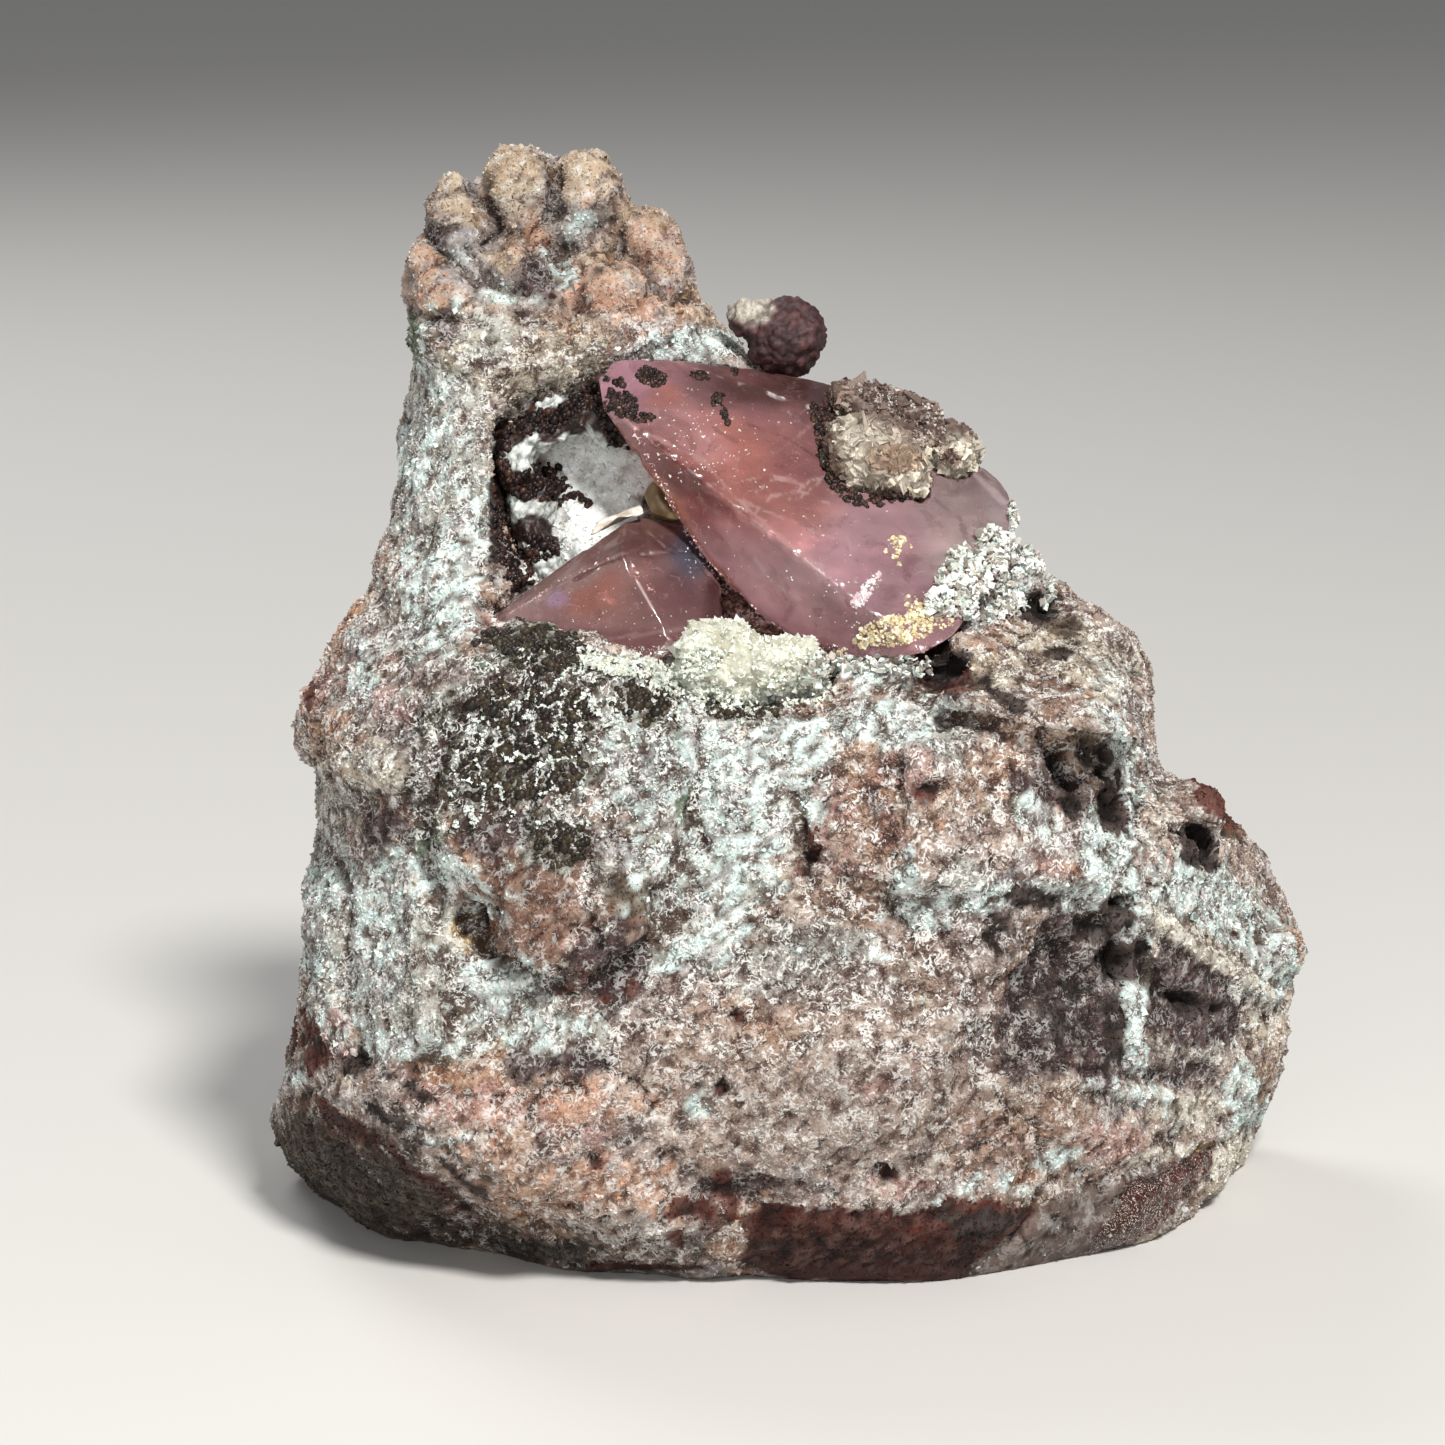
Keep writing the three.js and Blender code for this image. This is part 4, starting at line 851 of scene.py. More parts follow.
# Pale curls and dark hairlines: the noise that they follow and their width in it, the size
# and limits of the zones where they lie, their share and their tint.
FINE_MARKS = (
    ((0.50, 2, 0.5, 0.8), (0.070, 0.035), 1.1, (0.46, 0.56), 0.70, (244, 244, 240)),
    ((0.62, 2, 0.6, 1.0), (0.062, 0.028), 1.4, (0.47, 0.57), 0.80, (66, 43, 38)),
)


def fine_marks(look, colour, rest):
    """Thin pale curls and dark hairlines, finer than the grains."""
    for noise, width, size, limits, share, tint in FINE_MARKS:
        line = look.math("ABSOLUTE", look.math("SUBTRACT", look.noise(*noise), 0.5))
        zone = look.ramp(look.noise(size, 2, 0.6), *limits)
        where = look.times(look.ramp(line, *width), zone)
        colour = look.mix(look.times(where, look.times(rest, share)), colour, tint)
    return colour


def rock_look(name):
    look = Look(name)
    colour = look.attribute("tint", "Color")
    rest = look.math("SUBTRACT", 1.0, look.times(look.attribute("calm"), 0.7))
    rest = look.times(rest, look.math("SUBTRACT", 1.0, look.attribute("plain")))
    flecks = look.ramp(look.noise(0.20, 2, 0.7, 1.0), 0.57, 0.66)
    colour = look.mix(look.times(flecks, look.times(rest, 0.45)), colour, (242, 236, 226))
    # Painted shade: small dark spots between the grains.
    gap_shade = look.ramp(look.noise(0.24, 2, 0.7, 1.2), 0.43, 0.33)
    colour = look.mix(look.times(gap_shade, look.times(rest, 0.5)), colour, (84, 56, 48))
    colour = fine_marks(look, colour, rest)
    # Painted glints: pale spots on the glossy triangle.
    glint = look.ramp(look.noise(0.30, 2, 0.8, 3.0), 0.58, 0.62)
    glint = look.times(glint, look.attribute("gloss"))
    colour = look.mix(look.times(glint, 0.9), colour, (240, 226, 216))
    height = look.math("ADD", look.times(look.cell(0.30), 0.8), look.noise(0.20, 3, 0.7))
    height = look.times(height, rest)
    height = look.math("MULTIPLY_ADD", look.noise(1.2, 4, 0.6), 0.6, height)
    normal = look.bump(height, 0.15, 0.75)
    rough = look.math("MULTIPLY_ADD", look.attribute("gloss"), -0.5, 0.78)
    return look.set(Base_Color=colour, Roughness=rough, Normal=normal, Specular_IOR_Level=0.3)


rock.data.materials.append(rock_look("rock"))
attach(rock, "root")
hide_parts("matrix_rock")


# Grains on the rock.
def spread_over(points, triangles, spacing, seed, weight=None):
    """Points spread evenly over a surface, the direction that it faces there, and their triangles."""
    chance = np.random.default_rng(seed)
    a, b, c = points[triangles[:, 0]], points[triangles[:, 1]], points[triangles[:, 2]]
    cross = np.cross(b - a, c - a)
    area = np.linalg.norm(cross, axis=1) / 2
    share = area if weight is None else area * weight
    count = int(2.6 * share.sum() / spacing ** 2)
    which = chance.choice(len(area), count, p=share / share.sum())
    r1, r2 = np.sqrt(chance.random(count)), chance.random(count)
    at = a[which] * (1 - r1)[:, None] + b[which] * (r1 * (1 - r2))[:, None] + c[which] * (r1 * r2)[:, None]
    cell = np.floor(at / spacing).astype(np.int64)
    key = (cell[:, 0] + 4096) + (cell[:, 1] + 4096) * 8192 + (cell[:, 2] + 4096) * 8192 * 8192
    first = np.unique(key, return_index=True)[1]
    at, which = at[first], which[first]
    directions = cross[which] / np.maximum(2 * area[which], 1e-12)[:, None]
    return at, directions, which


def turned(directions, tilt, seed):
    """Rotations whose third axis is near each direction, tilted and spun at random."""
    chance = np.random.default_rng(seed)
    z = directions + tilt * chance.standard_normal(directions.shape)
    z /= np.linalg.norm(z, axis=1)[:, None]
    x = chance.standard_normal(directions.shape)
    x -= np.einsum("ij,ij->i", x, z)[:, None] * z
    x /= np.linalg.norm(x, axis=1)[:, None]
    return np.stack([x, np.cross(z, x), z], axis=2)


def ring(count, radius, height, turn=0.0):
    a = np.arange(count) * 2 * math.pi / count + turn
    return np.stack([radius * np.cos(a), radius * np.sin(a), np.full(count, height)], axis=1)


# Small closed shapes that point up: a three-sided point, a rhomb on its corner, a plate and a round bead.
POINT = np.concatenate([[(0, 0, 0.75)], ring(3, 0.85, -0.25)])
POINT_SIDES = np.array([(0, 1, 2), (0, 2, 3), (0, 3, 1), (1, 3, 2)])
RHOMB = np.concatenate([
    [(0, 0, 0.87)], ring(3, 0.82, 0.29), ring(3, 0.82, -0.29, math.pi / 3), [(0, 0, -0.87)]])
RHOMB_SIDES = np.array([
    (0, 1, 4), (0, 4, 2), (0, 2, 5), (0, 5, 3), (0, 3, 6), (0, 6, 1),
    (7, 4, 1), (7, 2, 4), (7, 5, 2), (7, 3, 5), (7, 6, 3), (7, 1, 6)])
PLATE = np.concatenate([ring(4, 0.95, 0.16), ring(4, 1.0, -0.16, 0.3)]) * (1.0, 0.8, 1.0)
PLATE_SIDES = np.array(
    [(0, 1, 2), (0, 2, 3), (4, 6, 5), (4, 7, 6)] +
    [side for i in range(4) for side in ((i, 4 + i, 4 + (i + 1) % 4), (i, 4 + (i + 1) % 4, (i + 1) % 4))])
BEAD = np.concatenate([[(0, 0, 1)], ring(5, 0.894, 0.447), ring(5, 0.894, -0.447, math.pi / 5), [(0, 0, -1)]])
BEAD_SIDES = np.array(
    [(0, 1 + i, 1 + (i + 1) % 5) for i in range(5)] +
    [(1 + i, 6 + i, 1 + (i + 1) % 5) for i in range(5)] +
    [(6 + i, 6 + (i + 1) % 5, 1 + (i + 1) % 5) for i in range(5)] +
    [(6 + i, 11, 6 + (i + 1) % 5) for i in range(5)])


def strewn(name, at, directions, sizes, tints, seed, shape, sides, tilt=0.45, sink=0.1, smooth=False,
           plain=None):
    """One object of many small copies of a shape, each with its own size, turn, proportions and tint."""
    chance = np.random.default_rng(seed)
    rotation = turned(directions, tilt, seed + 1)
    stretch = sizes[:, None] * (1 + 0.28 * chance.uniform(-1, 1, (len(at), 3)))
    world = np.einsum("nij,nkj->nki", rotation, shape[None] * stretch[:, None, :])
    world = (world + (at - sink * sizes[:, None] * directions)[:, None, :]).reshape(-1, 3)
    world[:, 2] = np.maximum(world[:, 2], 0.02)
    triangles = (sides[None] + (np.arange(len(at)) * len(shape))[:, None, None]).reshape(-1, 3)
    mesh = make_mesh(name, world, triangles, smooth)
    set_colour(mesh, np.repeat(tints, len(shape), axis=0))
    if plain is not None:
        set_attribute(mesh, "plain", np.repeat(plain, len(shape)))
    obj = make_object(name, mesh)
    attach(obj, "root")
    return obj


def grain_look(name, roughness, dark, pale, marked=False):
    look = Look(name)
    colour = look.attribute("tint", "Color")
    grain = look.noise(0.16, 2, 0.7)
    plain = look.math("SUBTRACT", 1.0, look.times(look.attribute("plain"), 0.7))
    shade = look.ramp(grain, 0.42, 0.30, 0.0, dark)
    colour = look.mix(look.times(shade, plain), colour, (84, 58, 50))
    rest = look.math("SUBTRACT", 1.0, look.attribute("plain"))
    bright = look.ramp(grain, 0.60, 0.70, 0.0, pale)
    colour = look.mix(look.times(bright, rest), colour, (242, 238, 230))
    if marked:
        colour = fine_marks(look, colour, look.times(rest, 0.9))
    normal = look.bump(look.noise(0.12, 2, 0.6), 0.05, 0.6)
    shine = 0.25 if dark > 0.2 else 0.5
    return look.set(Base_Color=colour, Roughness=roughness, Normal=normal, Specular_IOR_Level=shine)


rock_triangles = triangles_of(rock_mesh)
grain_material = grain_look("sugar_grain", 0.5, 0.40, 0.35, True)
middle = p[rock_triangles].mean(axis=1)
front = ramp(facing[rock_triangles].mean(axis=1), -0.1, 0.2)
open_ground = ramp(middle[:, 2], 0.2, 0.6) * (1 - 0.95 * calm[rock_triangles].mean(axis=1))
band = np.digitize(middle[:, 0], (-10.5, 9.5))
sets = (
    ("grains_left", 0.28, 0.185, 401, front * (band == 0), POINT, POINT_SIDES),
    ("grains_middle", 0.28, 0.185, 441, front * (band == 1), POINT, POINT_SIDES),
    ("grains_right", 0.28, 0.185, 411, front * (band == 2), POINT, POINT_SIDES),
    ("large_grains", 1.5, 0.24, 421, front, RHOMB, RHOMB_SIDES),
    ("grains_back", 0.60, 0.26, 431, 1 - front, POINT, POINT_SIDES),
)
for name, spacing, size, seed, weight, shape, sides in sets:
    at, directions, which = spread_over(p, rock_triangles, spacing, seed, weight * open_ground)
    chance = np.random.default_rng(seed + 2)
    sizes = size * np.exp(0.30 * chance.standard_normal(len(at)))
    tints, darkened, gap_shade = rock_colour(at, facing_of(at, directions), seed + 3, 1.0)
    # Painted shade on grains in hollows and between grains, and a painted highlight on grains on raised
    # points.
    low, high = hollow_shade[rock_triangles[which, 0]], proud_highlight[rock_triangles[which, 0]]
    tints = towards(tints, FLECK, 0.18 * high * (1 - darkened))
    tints = tints * (1 - 0.9 * low[:, None] * HOLLOW_DIMMED)
    sizes *= 1 - 0.2 * darkened - 0.35 * np.maximum(gap_shade, low)
    plain = plain_of(at, darkened)
    grains = strewn(name, at, directions, sizes, tints, seed + 4, shape, sides, 0.35, 0.15, plain=plain)
    grains.data.materials.append(grain_material)


# The pink crystals: the solids' own faces, with worn edges, clouds and cracks.
def patches_on(points, base, patches, drift):
    """Colours for points on a crystal: a base, and soft patches over it in the front's grid."""
    x, y = seen(points)
    x = x + drift * rough_noise(points, 2.5, 501, 4)
    y = y + drift * rough_noise(points, 2.5, 511, 4)
    colour = np.repeat(np.array([base], dtype=float), len(points), axis=0)
    for patch in patches:
        strength, tint = patch[5:]
        colour = towards(colour, tint, strength * (1 - ramp(within(x, y, patch), 0.4, 1.6)))
    return colour


def crystal_piece(name, node, longest, base, patches, cracks, seed):
    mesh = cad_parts[node].data.copy()
    mesh.name = name
    mesh.materials.clear()
    b = bmesh.new()
    b.from_mesh(mesh)
    bmesh.ops.remove_doubles(b, verts=b.verts, dist=0.02 * MM)
    bmesh.ops.dissolve_limit(b, angle_limit=math.radians(1.5), verts=b.verts, edges=b.edges)
    bmesh.ops.triangulate(b, faces=b.faces)
    rims = [
        (np.array(e.verts[0].co) / MM, np.array(e.verts[1].co) / MM)
        for e in b.edges if len(e.link_faces) == 2 and e.calc_face_angle(0) > math.radians(14)]
    for _ in range(9):
        long = [e for e in b.edges if e.calc_length() > longest * MM]
        if not long:
            break
        bmesh.ops.subdivide_edges(b, edges=long, cuts=1)
        bmesh.ops.triangulate(b, faces=b.faces)
    b.to_mesh(mesh)
    b.free()
    q = points_of(mesh)
    m = normals_of(mesh)
    rim = far_from_lines(q, rims)
    chips = ramp(rough_noise(q, 0.9, seed, 2), 0.05, 0.5) * (1 - ramp(rim, 0.05, 0.45))
    swell = 0.07 * rough_noise(q, 3.0, seed + 10, 2) + 0.025 * rough_noise(q, 0.7, seed + 20, 2)
    q = q + m * (swell - 0.22 * chips - 0.05 * (1 - ramp(rim, 0.0, 0.25)))[:, None]
    set_points(mesh, q)
    x, y = seen(q)
    colour = patches_on(q, base, patches, 9)
    cloud = rough_noise(q, 2.2, seed + 30, 4)
    streak = rough_noise(q * np.array([0.35, 1, 1.6]), 0.8, seed + 40, 3)
    colour = colour * (1 + 0.16 * cloud + 0.08 * streak)[:, None]
    flat = np.stack([x, y], axis=1)
    ragged = 2.5 * rough_noise(q, 1.0, seed + 50, 2)
    for line, width, tint in cracks:
        gap = far_from_lines(flat, segments(line)) + ragged
        colour = towards(colour, tint, 0.75 * (1 - ramp(gap, width * 0.4, width * 1.4)))
    # Paler along the rims: chipped edges, and in part a painted edge highlight.
    worn = (1 - ramp(rim, 0.02, 0.18)) * ramp(rough_noise(q, 0.6, seed + 60, 2), -0.15, 0.40)
    colour = towards(colour, (222, 184, 182), 0.5 * worn)
    set_colour(mesh, colour)
    set_attribute(mesh, "worn", np.clip(worn + chips, 0, 1))
    mesh.polygons.foreach_set("use_smooth", np.full(len(mesh.polygons), True))
    mesh.set_sharp_from_angle(angle=math.radians(24))
    obj = make_object(name, mesh)
    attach(obj, "root")
    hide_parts(node)
    return obj


def crystal_look(name, absorbed, density):
    look = Look(name)
    colour = look.attribute("tint", "Color")
    wisp = look.ramp(look.noise(1.4, 4, 0.7, 1.5), 0.56, 0.72)
    colour = look.mix(look.times(wisp, 0.30), colour, (224, 186, 190))
    murk = look.ramp(look.noise(2.4, 4, 0.65, 0.8), 0.46, 0.30)
    colour = look.mix(look.times(murk, 0.40), colour, (120, 70, 72))
    nick = look.ramp(look.noise(0.26, 2, 0.8, 2.5), 0.66, 0.71)
    colour = look.mix(look.times(nick, 0.6), colour, (238, 214, 212))
    height = look.math("MULTIPLY_ADD", look.noise(0.5, 3, 0.7), 0.25, look.noise(1.5, 2, 0.5))
    normal = look.bump(height, 0.2, 0.22)
    rough = look.math("MULTIPLY_ADD", look.attribute("worn"), 0.35, look.ramp(wisp, 0, 1, 0.16, 0.34))
    look.set(Base_Color=colour, Roughness=rough, Normal=normal)
    look.shader.inputs["IOR"].default_value = 1.6
    look.shader.inputs["Transmission Weight"].default_value = 0.62
    volume = look.nodes.new("ShaderNodeVolumeAbsorption")
    volume.inputs["Color"].default_value = linear(absorbed)
    volume.inputs["Density"].default_value = density
    look.links.new(volume.outputs[0], look.output.inputs["Volume"])
    return look.material


# Patches on the crystals are x, y, half width, half height, turn in degrees, strength and tint.
# Cracks in them are places, half width and tint.
LARGE_PATCHES = (
    (745, 470, 84, 60, 20, .9, (198, 128, 116)), (790, 500, 40, 24, 20, .5, (202, 140, 130)),
    (690, 438, 40, 18, 30, .7, (226, 170, 172)), (660, 396, 24, 12, 0, .7, (208, 128, 112)),
    (708, 512, 100, 20, 50, .9, (156, 92, 90)), (680, 478, 34, 10, 46, .8, (118, 62, 56)),
    # The pale patches at 745, 556 and 775, 592 and 812, 626 are painted light: they make the lower left facet
    # lighter where it faces away from the lamps.
    (722, 520, 26, 9, 50, .6, (136, 84, 86)), (745, 556, 44, 18, 50, .8, (218, 160, 162)),
    (775, 592, 66, 28, 46, .95, (242, 196, 202)), (812, 626, 60, 22, 26, .8, (236, 186, 194)),
    (830, 630, 50, 20, 20, .7, (206, 158, 166)), (655, 480, 60, 5, 56, .8, (222, 146, 120)),
    (620, 384, 34, 26, 0, .8, (204, 152, 168)), (700, 375, 50, 12, 6, .6, (172, 120, 126)),
    (720, 395, 50, 16, 20, .4, (150, 104, 116)), (775, 390, 76, 24, 6, 1.0, (104, 70, 66)),
    (835, 415, 34, 26, 30, .9, (80, 54, 52)), (748, 376, 30, 8, 4, .7, (150, 100, 100)),
    (905, 408, 60, 22, 22, .9, (128, 106, 98)), (760, 425, 16, 16, 0, .5, (146, 98, 106)),
    (805, 455, 36, 40, 0, .8, (150, 100, 102)), (900, 560, 80, 50, 0, .5, (200, 162, 172)),
    (975, 505, 54, 54, 0, .9, (174, 154, 152)), (968, 470, 20, 14, 20, .7, (128, 104, 106)),
    (1000, 520, 12, 26, -20, .5, (206, 192, 194)), (880, 640, 60, 14, 0, .6, (196, 146, 154)),
    (960, 560, 30, 34, 0, .7, (202, 188, 184)), (940, 600, 30, 14, -20, .5, (140, 100, 110)),
)
LARGE_CRACKS = (
    (((631, 426), (704, 461), (736, 499), (765, 524), (829, 579)), 2.0, (232, 184, 180)),
    (((736, 499), (790, 521), (850, 545)), 1.5, (226, 182, 178)),
    (((669, 359), (719, 403), (765, 410), (826, 422)), 2.0, (146, 104, 104)),
    (((732, 505), (727, 535), (742, 560)), 1.4, (228, 186, 182)),
    (((790, 500), (798, 490), (812, 480), (826, 478)), 1.3, (232, 196, 194)),
    (((757, 492), (772, 480), (790, 478), (806, 488)), 1.3, (230, 188, 184)),
    (((753, 515), (772, 496), (801, 491), (831, 505)), 1.2, (232, 194, 190)),
    (((743, 481), (772, 476), (797, 483)), 1.2, (228, 186, 180)),
    (((772, 456), (792, 442), (816, 422)), 1.2, (214, 164, 156)),
    (((797, 500), (821, 481)), 1.1, (226, 184, 178)),
    (((728, 505), (743, 500), (753, 525), (772, 534)), 1.2, (230, 190, 188)),
    (((709, 481), (733, 495)), 1.1, (222, 180, 176)), (((699, 432), (709, 442)), 1.2, (236, 200, 196)),
    (((821, 564), (827, 580)), 1.3, (236, 204, 204)),
    (((755, 560), (772, 582), (800, 600)), 1.1, (250, 222, 222)),
    (((670, 500), (690, 530), (712, 560), (742, 598)), 1.6, (206, 130, 108)),
    (((700, 408), (716, 430), (738, 442)), 1.1, (176, 118, 116)),
    (((748, 424), (790, 440), (822, 462)), 1.2, (120, 76, 76)),
    (((760, 458), (786, 452), (800, 466)), 1.0, (222, 180, 174)),
    (((640, 430), (668, 452), (690, 476)), 1.5, (110, 62, 62)),
    (((690, 470), (700, 492), (716, 500)), 1.2, (96, 52, 50)),
    (((812, 560), (842, 598), (850, 620)), 1.0, (228, 190, 190)),
    (((965, 466), (1010, 508), (1019, 550)), 3.0, (214, 196, 200)),
    (((935, 500), (960, 520), (968, 545)), 1.6, (150, 124, 126)),
)
large = crystal_piece(
    "pink_crystal", "large_crystal", 0.31, (204, 160, 166), LARGE_PATCHES, LARGE_CRACKS, 521)
large.data.materials.append(crystal_look("pink_calcite", (238, 168, 172), 60))

SMALL_PATCHES = (
    (598, 592, 28, 18, -10, .8, (208, 134, 112)), (592, 590, 44, 28, -10, .5, (186, 132, 122)),
    (565, 583, 76, 10, -29, .85, (192, 162, 156)), (640, 528, 44, 18, 0, .8, (132, 94, 88)),
    # The blue-grey patches at 690, 552 and 700, 540 are a painted view of the dark background through the
    # crystal.
    (655, 545, 34, 16, 6, .8, (120, 84, 82)), (690, 552, 17, 34, 8, .95, (104, 104, 124)),
    (700, 540, 20, 12, 0, .7, (120, 112, 130)), (678, 600, 34, 24, 0, .7, (128, 82, 86)),
    (562, 596, 9, 9, 0, .9, (206, 170, 200)), (630, 610, 34, 22, 0, .6, (158, 116, 110)),
    # The dark patch at 718, 600 is painted shadow under the large crystal's edge.
    (718, 600, 12, 34, 0, .9, (88, 52, 52)), (530, 612, 26, 12, -20, .7, (208, 170, 170)),
    (650, 640, 60, 10, 0, .6, (140, 88, 90)),
)
SMALL_CRACKS = (
    (((622, 553), (641, 580), (652, 602), (664, 612)), 1.0, (160, 120, 116)),
    (((505, 618), (553, 585), (577, 574), (622, 553)), 1.3, (206, 170, 164)),
    (((626, 556), (600, 566), (575, 580)), 1.6, (104, 66, 64)),
    (((600, 640), (650, 634), (690, 628)), 1.2, (196, 158, 154)),
    (((636, 560), (650, 590)), 1.3, (196, 150, 144)), (((648, 532), (664, 546)), 1.3, (206, 170, 166)),
)
small = crystal_piece(
    "rose_crystal", "small_crystal", 0.25, (178, 138, 136), SMALL_PATCHES, SMALL_CRACKS, 541)
small.data.materials.append(crystal_look("rose_calcite", (238, 174, 176), 80))


def along(line, width, count):
    """Patches along a line of places."""
    out = []
    for (ax, ay), (bx, by) in zip(line[:-1], line[1:]):
        length = math.hypot(bx - ax, by - ay)
        turn = math.degrees(math.atan2(by - ay, bx - ax))
        pieces = max(1, int(count * length / 100))
        out.append(((ax + bx) / 2, (ay + by) / 2, length / 2 + width * 0.3, width, turn, pieces))
    return out


# The crusts and small pieces.
def lumpy(name, node, voxel, size, height, seed, shrink=0.0):
    mesh = fine_copy(name, node, voxel, 3)
    q = points_of(mesh)
    m = normals_of(mesh)
    near, _, mark = cells(q, size, seed)
    bead = (1 - np.clip(near / 0.8, 0, 1) ** 2) * (0.6 + 0.4 * mark)
    finer = cells(q, size * 0.45, seed + 3)[0]
    bead = bead + 0.35 * (1 - np.clip(finer / 0.8, 0, 1) ** 2)
    q = q + m * (height * (bead - 0.5) + 0.5 * height * rough_noise(q, 2 * size, seed + 9) - shrink)[:, None]
    set_points(mesh, q)
    # Painted shade between the beads, which the material reads.
    set_attribute(mesh, "hollow_shade", 1 - ramp(bead, 0.15, 0.8))
    mesh.polygons.foreach_set("use_smooth", np.full(len(mesh.polygons), True))
    obj = make_object(name, mesh)
    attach(obj, "root")
    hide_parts(node)
    return obj, q, mark


def tinted_look(name, roughness, dark, size=0.5, bump=0.1):
    look = Look(name)
    grain = look.noise(size, 4, 0.7, 0.4)
    colour = look.attribute("tint", "Color")
    colour = look.mix(look.ramp(grain, 0.62, 0.32, 0.0, 0.6), colour, dark)
    # Painted shade in the hollows between the beads.
    colour = look.mix(look.times(look.attribute("hollow_shade"), 0.6), colour, dark)
    normal = look.bump(look.noise(size * 0.5, 3, 0.7), bump, 0.6)
    return look.set(Base_Color=colour, Roughness=roughness, Normal=normal)


def tones(mark, light, dark):
    """Colours from dark to light by each point's mark."""
    return towards(np.array(dark, dtype=float), light, mark)


druse, q, mark = lumpy("druse", "grey_druse", 0.17, 0.8, 0.3, 101)
x, y = seen(q)
x = x + 7 * rough_noise(q, 1.2, 105, 3)
y = y + 7 * rough_noise(q, 1.2, 106, 3)
brown = 1 - ramp(within(x, y, (892, 458, 30, 17, 0)), 0.5, 1.3)
top = (1 - ramp(y - 0.45 * (x - 880), 418, 434)) * (1 - ramp(x, 915, 935) * ramp(y, 430, 440))
rim = np.maximum(ramp(y - 0.1 * (x - 870), 482, 494), 1 - ramp(x - 0.3 * (y - 430), 826, 836)) * (x < 925)
colour = tones(mark, (204, 196, 180), (148, 138, 124))
colour = towards(colour, (134, 108, 86), 0.85 * brown)
colour = towards(colour, tones(mark, (122, 102, 92), (80, 63, 58)), 0.95 * top)
colour = towards(colour, tones(mark, (92, 70, 58), (46, 34, 30)), 0.95 * rim)
set_colour(druse.data, colour)
druse.data.materials.append(tinted_look("druse", 0.4, (96, 80, 68)))
druse_colour, druse_points = colour, q
cream, q, mark = lumpy("cream_crust", "cream_calcite", 0.17, 1.5, 0.95, 111, 0.35)
set_colour(cream.data, tones(mark, (220, 222, 207), (182, 182, 163)))
cream.data.materials.append(tinted_look("cream", 0.7, (150, 144, 122)))
CRUST_DARK = (
    along(((500, 436), (536, 424), (566, 425), (580, 402), (600, 408), (612, 436), (630, 452)), 15, 1) +
    along(((496, 440), (499, 500), (506, 560), (524, 592)), 9, 1) +
    [(535, 486, 38, 14, 6, 1), (536, 534, 28, 13, 4, 1), (520, 572, 13, 16, 0, 1), (604, 396, 20, 14, 0, 1)])


def crust_dark(points):
    """1 where the pocket's crust is bare oxide, 0 where the white coat covers it."""
    x, y = seen(points)
    x = x + 9 * rough_noise(points, 1.1, 151, 4)
    y = y + 9 * rough_noise(points, 1.1, 161, 4)
    far = np.full(len(points), 9.0)
    for patch in CRUST_DARK:
        far = np.minimum(far, within(x, y, patch))
    return 1 - ramp(far, 0.92, 1.12)


crust, q, mark = lumpy("dark_crust", "pocket_crust", 0.17, 0.6, 0.4, 121, 0.35)
bare = crust_dark(q)
colour = tones(mark, (240, 245, 241), (214, 222, 216))
colour = towards(colour, tones(mark, (55, 32, 26), (25, 17, 15)), bare)
set_colour(crust.data, colour)
crust.data.materials.append(tinted_look("oxide_crust", 0.45, (52, 40, 38), 0.6))
nodule, q, mark = lumpy("dark_nodule", "oxide_nodule", 0.15, 0.60, 0.36, 131)
x, y = seen(q)
pale = 1 - ramp(np.maximum(x - 772, y - 322) + 8 * rough_noise(q, 0.8, 135), -6, 6)
colour = tones(mark, (92, 54, 54), (58, 32, 34))
colour = towards(colour, (196, 188, 174), pale)
set_colour(nodule.data, colour)
nodule.data.materials.append(tinted_look("nodule", 0.6, (28, 15, 16), 0.35))
tan, q, mark = lumpy("tan_grain", "tan_crystal", 0.14, 1.2, 0.06, 141)
set_colour(tan.data, tones(mark, (172, 150, 110), (140, 118, 84)))
tan.data.materials.append(tinted_look("tan", 0.35, (98, 78, 52), 1.0, 0.04))
blade, q, mark = lumpy("blade", "pale_blade", 0.11, 1.0, 0.05, 151)
set_colour(blade.data, tones(mark, (236, 228, 216), (214, 202, 186)))
blade.data.materials.append(tinted_look("blade", 0.25, (150, 136, 122), 0.8, 0.03))

# What lies on the surfaces: beads, flecks and crusts, set down along the line of sight from the front.
carriers = []
for obj in (rock, large, small, druse, cream, crust, nodule):
    carriers.append((obj.name, points_of(obj.data), triangles_of(obj.data)))
first, all_points, all_triangles, owner = 0, [], [], []
for number, (name, points, triangles) in enumerate(carriers):
    all_points.append(points)
    all_triangles.append(triangles + first)
    owner.append(np.full(len(triangles), number))
    first += len(points)
all_points = np.concatenate(all_points)
all_triangles = np.concatenate(all_triangles)
owner = np.concatenate(owner)
seen_from = place(EYE_U, EYE_V, EYE_DISTANCE)
x, y = seen(all_points)
kept = in_box(x, y, POCKET)[all_triangles].all(axis=1)
tree = BVHTree.FromPolygons(all_points.tolist(), all_triangles[kept].tolist())
tree_owner = owner[kept]


